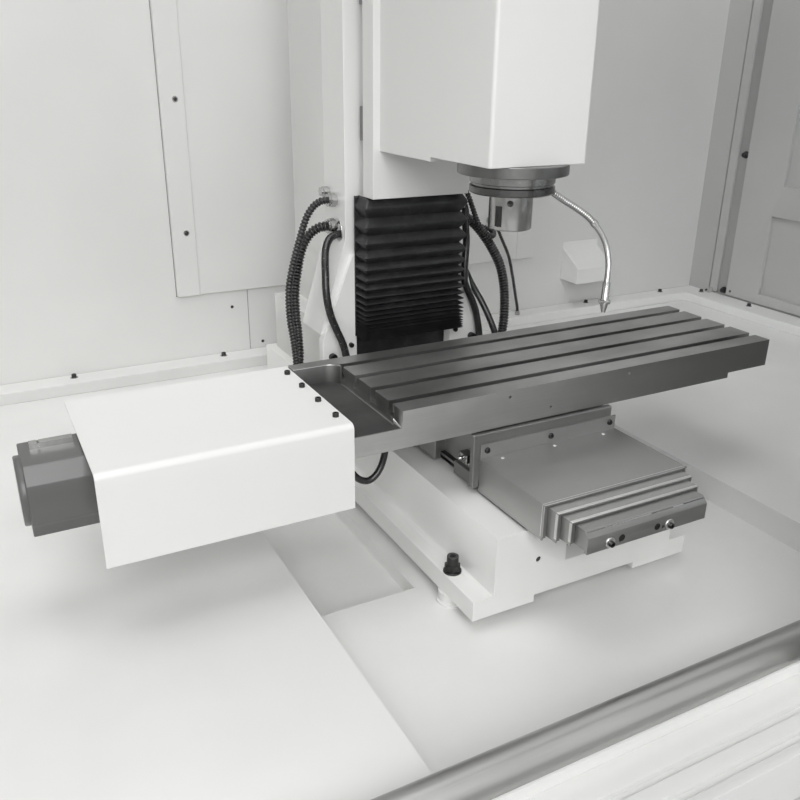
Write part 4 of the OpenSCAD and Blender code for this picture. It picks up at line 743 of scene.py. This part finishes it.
def held_hose(node, kind):
    """A hose or cable that the machine holds along its whole route.

    The radius of a ribbed one is r - depth * ((1 - cos(2 pi s / pitch)) / 2) ** 1.5: broad ribs
    and narrow grooves. A wrapped one has a thin light line wound round it.
    """
    diameter, knots = ROUTES[node]
    body, slot = NODE_BODY[node], slot_of(node)
    knots = np.array(knots) * 0.001
    ribbed = kind == "ribbed"
    path, along = curve_through(knots, RIB_PITCH / RIB_STEPS if ribbed else SMOOTH_STEP)
    radius = np.full(len(path), diameter / 2)
    if ribbed:
        dip = ((1 - np.cos(2 * np.pi * along / RIB_PITCH)) / 2) ** 1.5
        radius -= min(RIB_DEPTH, diameter * RIB_DEPTH_SHARE) * dip
    points, faces = swept_tube(path, radius, HOSE_SIDES)
    look = "ribbed" if ribbed else "conduit"
    piece = piece_from(node + "_hose", points, faces, look, body, 80)
    if ribbed:
        # The rib value marks the crests for the painted highlight and the grooves for the painted
        # shade
        mark_ribs(piece, np.repeat(1 - np.clip(dip * 1.6, 0, 1), HOSE_SIDES))
    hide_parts(node)
    on_it = []
    if kind == "wrapped":
        points, faces = wrap_line(path, along, diameter / 2, WRAP_PITCH, WRAP_RADIUS)
        on_it = [piece_from(node + "_wrap", points, faces, "wrap", body, 80)]


for cord_node, cord_kind in (
    ("conduit_upper", "ribbed"), ("conduit_lower", "ribbed"), ("cable_left", "wrapped"),
    ("conduit_right", "ribbed"), ("x_motor_cable", "plain"), ("conduit_loop", "ribbed"),
    ("conduit_wall", "ribbed"), ("cable_right_a", "plain"), ("cable_right_b", "plain"),
):
    held_hose(cord_node, cord_kind)

# Bellows

BELLOWS_LOW, BELLOWS_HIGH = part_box("bellows")
FOLDS = 20
FOLD_RATIO = 0.875
FOLD_DEPTH = 0.011
FOLD_STEPS = 8
BELLOWS_CORNER = 0.004
BELLOWS_WALL = 0.0012
# The straight strip at the back of each side, and where the side's front part starts
BACK_STRIP = 0.003
SIDE_START = 0.02
# The folds keep their full depth up to this far behind the front
FULL_DEPTH = 0.019
# Share of the half width from which the path counts as the side
SIDE_SHARE = 0.94
SAG = 0.0007
# Turn of the sag from one fold to the next, in radians
SAG_TURN = 2.4


def bellows_skin():
    """The folded skin: height down the folds by the path round left side, front and right side.

    Fold k is r ** k times as high as the first. Within a fold at t from 0 to 1 the skin lies
    depth * |2 t - 1| ** 1.25 behind its peak line. The path's corners are rounded by 4 mm. Away
    from the grooves the skin sags by 0.7 mm * cos(pi x / width) * sin(2.4 s), s counting folds.
    """
    x1, y0, y1 = BELLOWS_HIGH[0], BELLOWS_LOW[1], BELLOWS_HIGH[1]
    top, height = BELLOWS_HIGH[2], BELLOWS_HIGH[2] - BELLOWS_LOW[2]
    s = np.arange(FOLDS * FOLD_STEPS + 1) / FOLD_STEPS
    k = np.minimum(np.floor(s), FOLDS - 1)
    t = s - k
    fall = lambda i: height * (1 - FOLD_RATIO**i) / (1 - FOLD_RATIO**FOLDS)
    z = top - fall(k) - t * (fall(k + 1) - fall(k))
    inset = FOLD_DEPTH * np.abs(2 * t - 1) ** 1.25
    bend = np.linspace(0, np.pi / 2, 5)
    r = BELLOWS_CORNER
    px = np.concatenate([[-x1, -x1], -x1 + r - r * np.cos(bend), np.linspace(-x1 + r, 0, 8)[1:]])
    side_y = [y1 - BACK_STRIP, y0 + SIDE_START]
    py = np.concatenate([side_y, y0 + r - r * np.sin(bend), np.full(7, y0)])
    px = np.concatenate([px, -px[-2::-1]])
    py = np.concatenate([py, py[-2::-1]])
    side = np.clip(np.abs(px) / x1, 0, 1) > SIDE_SHARE
    x = px - np.sign(px) * np.where(side, 1.0, np.abs(px) / x1) * inset[:, None]
    front = np.clip((y1 - py) / (y1 - y0), 0, 1)
    y = py + np.where(py < y0 + FULL_DEPTH, 1.0, front) * inset[:, None]
    sag = SAG * np.cos(np.pi * px / (2 * x1)) * np.sin(SAG_TURN * s)[:, None]
    sag = sag * (inset[:, None] < FOLD_DEPTH * 0.9)
    rows = len(s)
    edge = np.tile([y1, y1 - BACK_STRIP + 0.0001], (rows, 1))
    none = np.zeros((rows, 2))
    x = np.concatenate([none - x1, x, none + x1], 1)
    y = np.concatenate([edge, y, edge[:, ::-1]], 1)
    sag = np.concatenate([none, sag, none], 1)
    grid = np.stack([x, y, z[:, None] + sag], 2)
    return grid.reshape(-1, 3), grid_faces(rows, grid.shape[1], close_columns=False)


def make_bellows():
    """The skin with its wall, over the bellows solid's box from the column's foot to the head,
    attached to no body.
    """
    points, faces = bellows_skin()
    faces = [f[::-1] for f in faces]
    piece = piece_from("bellows_skin", points, faces, "bellows", None, 50)
    wall = piece.modifiers.new("wall", "SOLIDIFY")
    wall.thickness = BELLOWS_WALL
    wall.offset = -1
    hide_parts("bellows")
    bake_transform(piece)


make_bellows()

# Coolant neck

NECK = np.array([
    (72, -52, 1180), (72, -52, 1165), (84, -57, 1149), (106, -67, 1134), (130, -77, 1118),
    (152, -86, 1103), (176, -95, 1088), (198, -104, 1071), (214, -113, 1050), (224, -121, 1028),
    (227, -128, 1005), (224, -135, 982), (218, -141, 960)]) * 0.001
NECK_PITCH = 0.0042
# Share of the neck's length that is ribbed, and the place and half length of the collar after it
RIBBED_SHARE = 0.62
COLLAR_SHARE, COLLAR_HALF = 0.63, 0.012
NECK_RADIUS, NECK_DIP, COLLAR_RADIUS, TUBE_RADIUS = 0.006, 0.0008, 0.0068, 0.0052
NOZZLE_AXIS = (-0.174, -0.170, -0.970)
NOZZLE_MM = [
    (5.5, -4), (7, -2), (7, 27), (9.2, 27.2), (9.2, 35.5), (7, 36), (3.6, 50.8), (2.4, 50.8),
    (2.4, 40),
]
KNURL_MM = [(9.4, 28.5), (9.6, 29), (9.6, 34.5), (9.4, 35)]


def make_neck():
    """A flexible ribbed neck, then a smooth tube, a ring nut and a tapered nozzle.

    The ribbed part's radius is 6 mm - 0.8 mm * sin(pi s / pitch) ** 4 over the first 62 % of its
    length.
    """
    path, along = curve_through(NECK, NECK_PITCH / RIB_STEPS)
    share = along / along[-1]
    dip = np.sin(np.pi * along / NECK_PITCH) ** 4 * (share < RIBBED_SHARE)
    radius = np.where(share < RIBBED_SHARE, NECK_RADIUS - NECK_DIP * dip, TUBE_RADIUS)
    radius = np.where(np.abs(share - COLLAR_SHARE) < COLLAR_HALF, COLLAR_RADIUS, radius)
    nozzle = turned_shape(mm(*NOZZLE_MM), NECK[-1], NOZZLE_AXIS, 28)
    knurl = turned_shape(mm(*KNURL_MM), NECK[-1], NOZZLE_AXIS, 24, (1, 2))
    foot = hex_head(NECK[0], DOWN, 0.022, 0.009)
    shapes = [swept_tube(path, radius, HOSE_SIDES), nozzle, knurl, foot]
    piece = set_of("coolant_neck", shapes, "neck", "head", 40)
    # The rib value marks the crests for the painted highlight and the grooves for the painted
    # shade
    mark_ribs(piece, np.repeat(1 - np.clip(dip * 1.3, 0, 0.85), HOSE_SIDES))
    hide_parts("coolant_gooseneck")


make_neck()

# Screws, washers, rivets and hems

COVER_SLOT = slot_of("way_cover_box")
WALL_SLOT = slot_of("rear_wall")

# Middle of the way cover in millimetres
COVER_X = 10
# Face of its lips, half width, top and foot of each moving box
COVER_BOXES = {
    "way_cover_box": (-442, 136, 747, 695),
    "way_cover_middle": (-463, 128, 742, 700),
    "way_cover_small": (-484, 120, 737, 705),
}
# The next box is this much narrower on each side and lower, and lips end this much lower
NEXT_HALF, NEXT_TOP, LIP_DROP = 8, 5, 3
SHEET = 1.8
HEM_EDGE = 0.0007


def hem(node):
    """The folded front edge of a way cover box, painted bright as its highlight: a thin band up
    one side, over and down.
    """
    y0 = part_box(node)[0][1] * 1000
    half, top, foot = COVER_BOXES[node][1:]
    x0, x1 = COVER_X - half, COVER_X + half
    bands = [
        box_shape(mm(x0 + 0.4, y0 - 0.2, top - 1.4), mm(x1 - 0.4, y0 + 5, top + 0.35)),
        box_shape(mm(x0 - 0.35, y0 - 0.2, foot), mm(x0 + 1.4, y0 + 5, top - 1.5)),
        box_shape(mm(x1 - 1.4, y0 - 0.2, foot), mm(x1 + 0.35, y0 + 5, top - 1.5)),
    ]
    piece = set_of(node + "_hem", bands, "hem", NODE_BODY[node], 60)
    edge = piece.modifiers.new("edge", "BEVEL")
    edge.width = HEM_EDGE
    edge.segments = 3


def lips(node):
    """Strips that close the step to the next box: one under the top and one inside each side."""
    y0, half, top, foot = COVER_BOXES[node]
    low, next_top = foot - LIP_DROP, top - NEXT_TOP
    x0, x1 = COVER_X - half, COVER_X + half
    parts = [
        box_shape(mm(x0 + SHEET, y0 + 1, next_top + 0.5), mm(x1 - SHEET, y0 + 4, top - SHEET)),
        box_shape(mm(x0 + SHEET, y0 + 1, low), mm(x0 + NEXT_HALF - 0.5, y0 + 4, next_top + 1)),
        box_shape(mm(x1 - NEXT_HALF + 0.5, y0 + 1, low), mm(x1 - SHEET, y0 + 4, next_top + 1)),
    ]
    set_of(node + "_lips", parts, "steel_x", NODE_BODY[node])


for box_node in COVER_BOXES:
    hem(box_node)
for box_node in COVER_BOXES:
    lips(box_node)

# Heights of the rear cover panel's screws
PANEL_Z = (934, 1240, 1560, 1860)
LEDGE_SCREWS = [(x, 762) for x in (-1240, -920, -604, -236, 320, 960, 1280)]
LEDGE_SCREWS += [(s * 1408, y) for s in (-1, 1) for y in (-520, -180, 160, 500, 700)]
COLUMN_SLOT = slot_of("column")
LEDGE_SLOT = slot_of("wall_ledge")

# Each row is a piece: its name, look, body, slot and shapes
TRIM = [
    ("way_cover_flange_screws", "dark_steel", "saddle", COVER_SLOT,
     [pan_head(mm(x, -277, 760), FRONT, 0.010, 0.004) for x in (-114, 10, 134)]),
    ("way_cover_rivets", "hem", "saddle", COVER_SLOT,
     [pan_head(mm(x, -289, 747), UP, 0.006, 0.0014) for x in (-92, 10, 112)]),
    ("end_plate_washers", "hem", "frame", COVER_SLOT,
     [washer(mm(x, -511, 707), FRONT, 0.016, 0.0016) for x in (-61, 50)]),
    ("end_plate_screws", "dark_steel", "frame", COVER_SLOT,
     [socket_head(mm(x, -512.2, 706), FRONT, 0.009, 0.005) for x in (-61, 50)]
     + [washer(mm(x, -511, 709), FRONT, 0.0105, 0.0006) for x in (-40, 26)]),
    ("sheet_cover_screws", "dark_steel", "table", slot_of("x_motor_cover"),
     [socket_head(mm(-352, y, 846), UP, 0.0095, 0.006) for y in (-232, -166, -100, -35)]),
    # A black disc just inside the base's front hole: painted shade of the hole
    ("lifting_hole_shade", "black", "frame", slot_of("base_casting"),
     [turned_shape(mm((4.9, 0), (4.9, 0.6), (0.2, 0.7)), mm(-97, -401, 628), FRONT, 24)]),
    ("column_tab_screws", "dark_steel", "frame", COLUMN_SLOT,
     [socket_head(mm(x, 213, 790), FRONT, 0.010, 0.006) for x in (-123.5, 123.5)]
     + [socket_head(mm(x, 213, z), FRONT, 0.016, 0.010) for x in (-165, 165) for z in (712, 770)]),
    ("cable_plate_screws", "dark_steel", "frame", COLUMN_SLOT,
     [pan_head(mm(-128, 251, z), LEFT, 0.006, 0.002) for z in (985, 1031)]),
    ("panel_washers", "chrome", "frame", WALL_SLOT,
     [washer(mm(-303, 773, z), FRONT, 0.014, 0.001) for z in PANEL_Z]),
    ("panel_screws", "dark_steel", "frame", WALL_SLOT,
     [pan_head(mm(x, 773, z), FRONT, 0.009, 0.003) for x in (-303, 712) for z in PANEL_Z]
     + [pan_head(mm(-198, 787, 733), FRONT, 0.008, 0.002),
        pan_head(mm(-120, 788.5, 629), FRONT, 0.008, 0.003)]),
    # Dark strips along the panel's edges and along a seam below it: painted gap shadow
    ("panel_gap_shadows", "seam", "frame", WALL_SLOT,
     [box_shape(mm(-338.4, 785.6, 776), mm(-337, 787, 1940)),
      box_shape(mm(742, 785.6, 776), mm(743.4, 787, 1940)),
      box_shape(mm(-338.4, 785.6, 775.4), mm(743.4, 787, 777)),
      box_shape(mm(-156.2, 786.2, 613.5), mm(-155, 787.6, 775))]),
    ("ledge_washers", "chrome", "frame", LEDGE_SLOT,
     [washer(mm(x, y, 613), UP, 0.018, 0.0014) for x, y in LEDGE_SCREWS]),
    ("ledge_screws", "dark_steel", "frame", LEDGE_SLOT,
     [socket_head(mm(x, y, 614.4), UP, 0.0115, 0.0075) for x, y in LEDGE_SCREWS]),
]
for trim_name, trim_look, trim_body, trim_slot, trim_shapes in TRIM:
    set_of(trim_name, trim_shapes, trim_look, trim_body)

RING_AT = mm(-128.1, 251, 1008)
RING_HALF = mm(12.5, 26)
RING_THICK = 0.0016


def cable_ring():
    """The oval ring round the cable's hole in the column's left side.

    Its y and z are an ellipse of 12.5 and 26 mm: y = 12.5 cos a and z = 26 sin a.
    """
    a = np.linspace(0, 2 * np.pi, 33)[:-1]
    oval = np.stack([np.zeros(32), RING_HALF[0] * np.cos(a), RING_HALF[1] * np.sin(a)], 1)
    knots = np.concatenate([oval, oval[:1]]) + RING_AT
    points, faces = swept_tube(curve_through(knots, SMOOTH_STEP)[0], RING_THICK, 8)
    piece_from("cable_ring", points, faces, "chrome", "frame", 60)


cable_ring()
# The bracket on the right wall has the right wall's painted shade
set_of("door_bracket", [box_shape(mm(1423, 682, 600), mm(1441, 700, 628))],
       "shaded_right_wall", "frame")
set_of("door_bracket_screws",
       [socket_head(mm(1423, 691, z), LEFT, 0.007, 0.004) for z in (607, 621)],
       "dark_steel", "frame")

HOLDER_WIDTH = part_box("tool_holder")[1][0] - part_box("tool_holder")[0][0]
SPINDLE_Y = -0.140
KEY_BOX = mm(7.2, 0.4, 0.4), mm(13.6, 11.6, 31.6)
KEY_TURN = math.radians(-12)


def drive_key():
    """The dark key in the holder's slot, turned as the slot is: 12 degrees round Z."""
    points, faces = box_shape(*KEY_BOX)
    c, t = math.cos(KEY_TURN), math.sin(KEY_TURN)
    points = points.reshape(-1, 3) @ np.array([[c, t, 0], [-t, c, 0], [0, 0, 1]])
    points += np.array([-HOLDER_WIDTH / 2 - 0.008, SPINDLE_Y - 0.016, 1.083])
    piece_from("drive_key", points, faces, "dark_steel", "spindle")


drive_key()

STUD_MM = [(9.3, 0), (9.3, 15.5), (8.4, 16.8), (5.3, 16.8), (5.1, 8), (0.4, 7.8)]


def level_screws():
    """The dark stud, nut and washer over each levelling pad, drawn over the solid by a hair."""
    parts = []
    for x in (-196, 196):
        for y in (-318, 503):
            parts.append(washer(mm(x, y, 586), UP, 0.0292, 0.0034, 28))
            parts.append(hex_head(mm(x, y, 589), UP, 0.0245, 0.0085))
            parts.append(turned_shape(mm(*STUD_MM), mm(x, y, 597), UP, 24, hexes=(3, 4)))
    set_of("level_screws", parts, "dark_steel", "frame")


level_screws()

BUFFER_MM = [(11, 0), (11, 4), (8, 6), (8, 12), (7.2, 14.5), (5, 16.3), (0.5, 17)]
HINGE_MM = [(0.5, 0), (6.5, 0.5), (7.5, 2), (7.5, 78), (6.5, 79.5), (0.5, 80)]


def door_trim():
    """Three rubber buffers in the service door's groove, its hinge knuckles and inner bolts."""
    noses = [turned_shape(mm(*BUFFER_MM), mm(1448.7, 639, z), LEFT, 28) for z in (629, 1066, 1790)]
    set_of("door_buffers", noses, "rubber", "service_door", 50)
    for z, place in ((760, "low"), (1270, "middle"), (1780, "high")):
        knuckle = turned_shape(mm(*HINGE_MM), mm(1471, -6, z), UP, 20)
        set_of("hinge_" + place, [knuckle], "motor", "frame")
    bolts = [(y, z) for y in (30, 330, 610) for z in (632, 1925)]
    set_of("door_bolts", [pan_head(mm(1443, y, z), LEFT, 0.010, 0.003) for y, z in bolts],
           "dark_steel", "service_door")


door_trim()

# Light and floor

FLOOR_SIZE = 14.0
WORLD_STRENGTH = 0.14
WORLD_SEEN = 0.93
# Each lamp's place, the point that it faces, its size and its power. The first stands before the
# doorway to the left and the second over the open top. The others reach only the outer sides.
LAMPS = {
    "front_light": ((-1.2, -2.6, 2.3), (-0.3, 0.1, 0.8), (1.9, 1.6), 60),
    "top_light": ((-0.6, -0.5, 3.4), (-0.3, -0.1, 0.8), (1.8, 1.6), 29),
    "rear_light": ((0.9, 4.4, 2.1), (0.0, 0.8, 0.9), (3.0, 1.8), 110),
    "right_light": ((5.0, -0.4, 2.0), (1.47, 0.0, 0.9), (2.4, 1.8), 80),
    "left_light": ((-5.0, 0.3, 2.0), (-1.47, 0.0, 0.9), (2.4, 1.8), 60),
}


def lamp(name, at, toward, size, power):
    """A soft rectangular lamp at one point that faces another."""
    data = bpy.data.lights.new(name, "AREA")
    data.shape = "RECTANGLE"
    data.size, data.size_y = size
    data.energy = power
    light = bpy.data.objects.new(name, data)
    bpy.context.scene.collection.objects.link(light)
    back = np.asarray(at, float) - np.asarray(toward, float)
    f = frame_for(back)
    light.matrix_world = Matrix([[*f[k], at[k]] for k in range(3)] + [[0, 0, 0, 1]])


def set_world():
    """A dim pale world for the light, and a brighter one where it is seen or mirrored."""
    world = bpy.data.worlds.new("pale_room")
    bpy.context.scene.world = world
    world.use_nodes = True
    tree = world.node_tree
    tree.nodes.clear()
    path = tree.nodes.new("ShaderNodeLightPath")
    seen = path.outputs["Is Camera Ray"]
    for ray in ("Is Glossy Ray", "Is Transmission Ray"):
        either = tree.nodes.new("ShaderNodeMath")
        either.operation = "MAXIMUM"
        tree.links.new(seen, either.inputs[0])
        tree.links.new(path.outputs[ray], either.inputs[1])
        seen = either.outputs[0]
    mix = tree.nodes.new("ShaderNodeMixShader")
    tree.links.new(seen, mix.inputs[0])
    for k, (tone, strength) in enumerate(((1, WORLD_STRENGTH), (WORLD_SEEN, 1.0)), 1):
        back = tree.nodes.new("ShaderNodeBackground")
        back.inputs[0].default_value = (tone, tone, tone, 1)
        back.inputs[1].default_value = strength
        tree.links.new(back.outputs[0], mix.inputs[k])
    out = tree.nodes.new("ShaderNodeOutputWorld")
    tree.links.new(mix.outputs[0], out.inputs[0])


def set_floor():
    """A plain pale floor at the height of the feet."""
    half = FLOOR_SIZE / 2
    corners = [(-half, -half, 0), (half, -half, 0), (half, half, 0), (-half, half, 0)]
    mesh = bpy.data.meshes.new("studio_floor")
    mesh.from_pydata(corners, [], [(0, 1, 2, 3)])
    floor = bpy.data.objects.new("studio_floor", mesh)
    bpy.context.scene.collection.objects.link(floor)
    mesh.materials.append(Finish("studio_floor", (0.82, 0.82, 0.82), 0.7).material)


for lamp_name, lamp_setting in LAMPS.items():
    lamp(lamp_name, *lamp_setting)
set_world()
set_floor()
bpy.context.scene.view_settings.view_transform = "Standard"
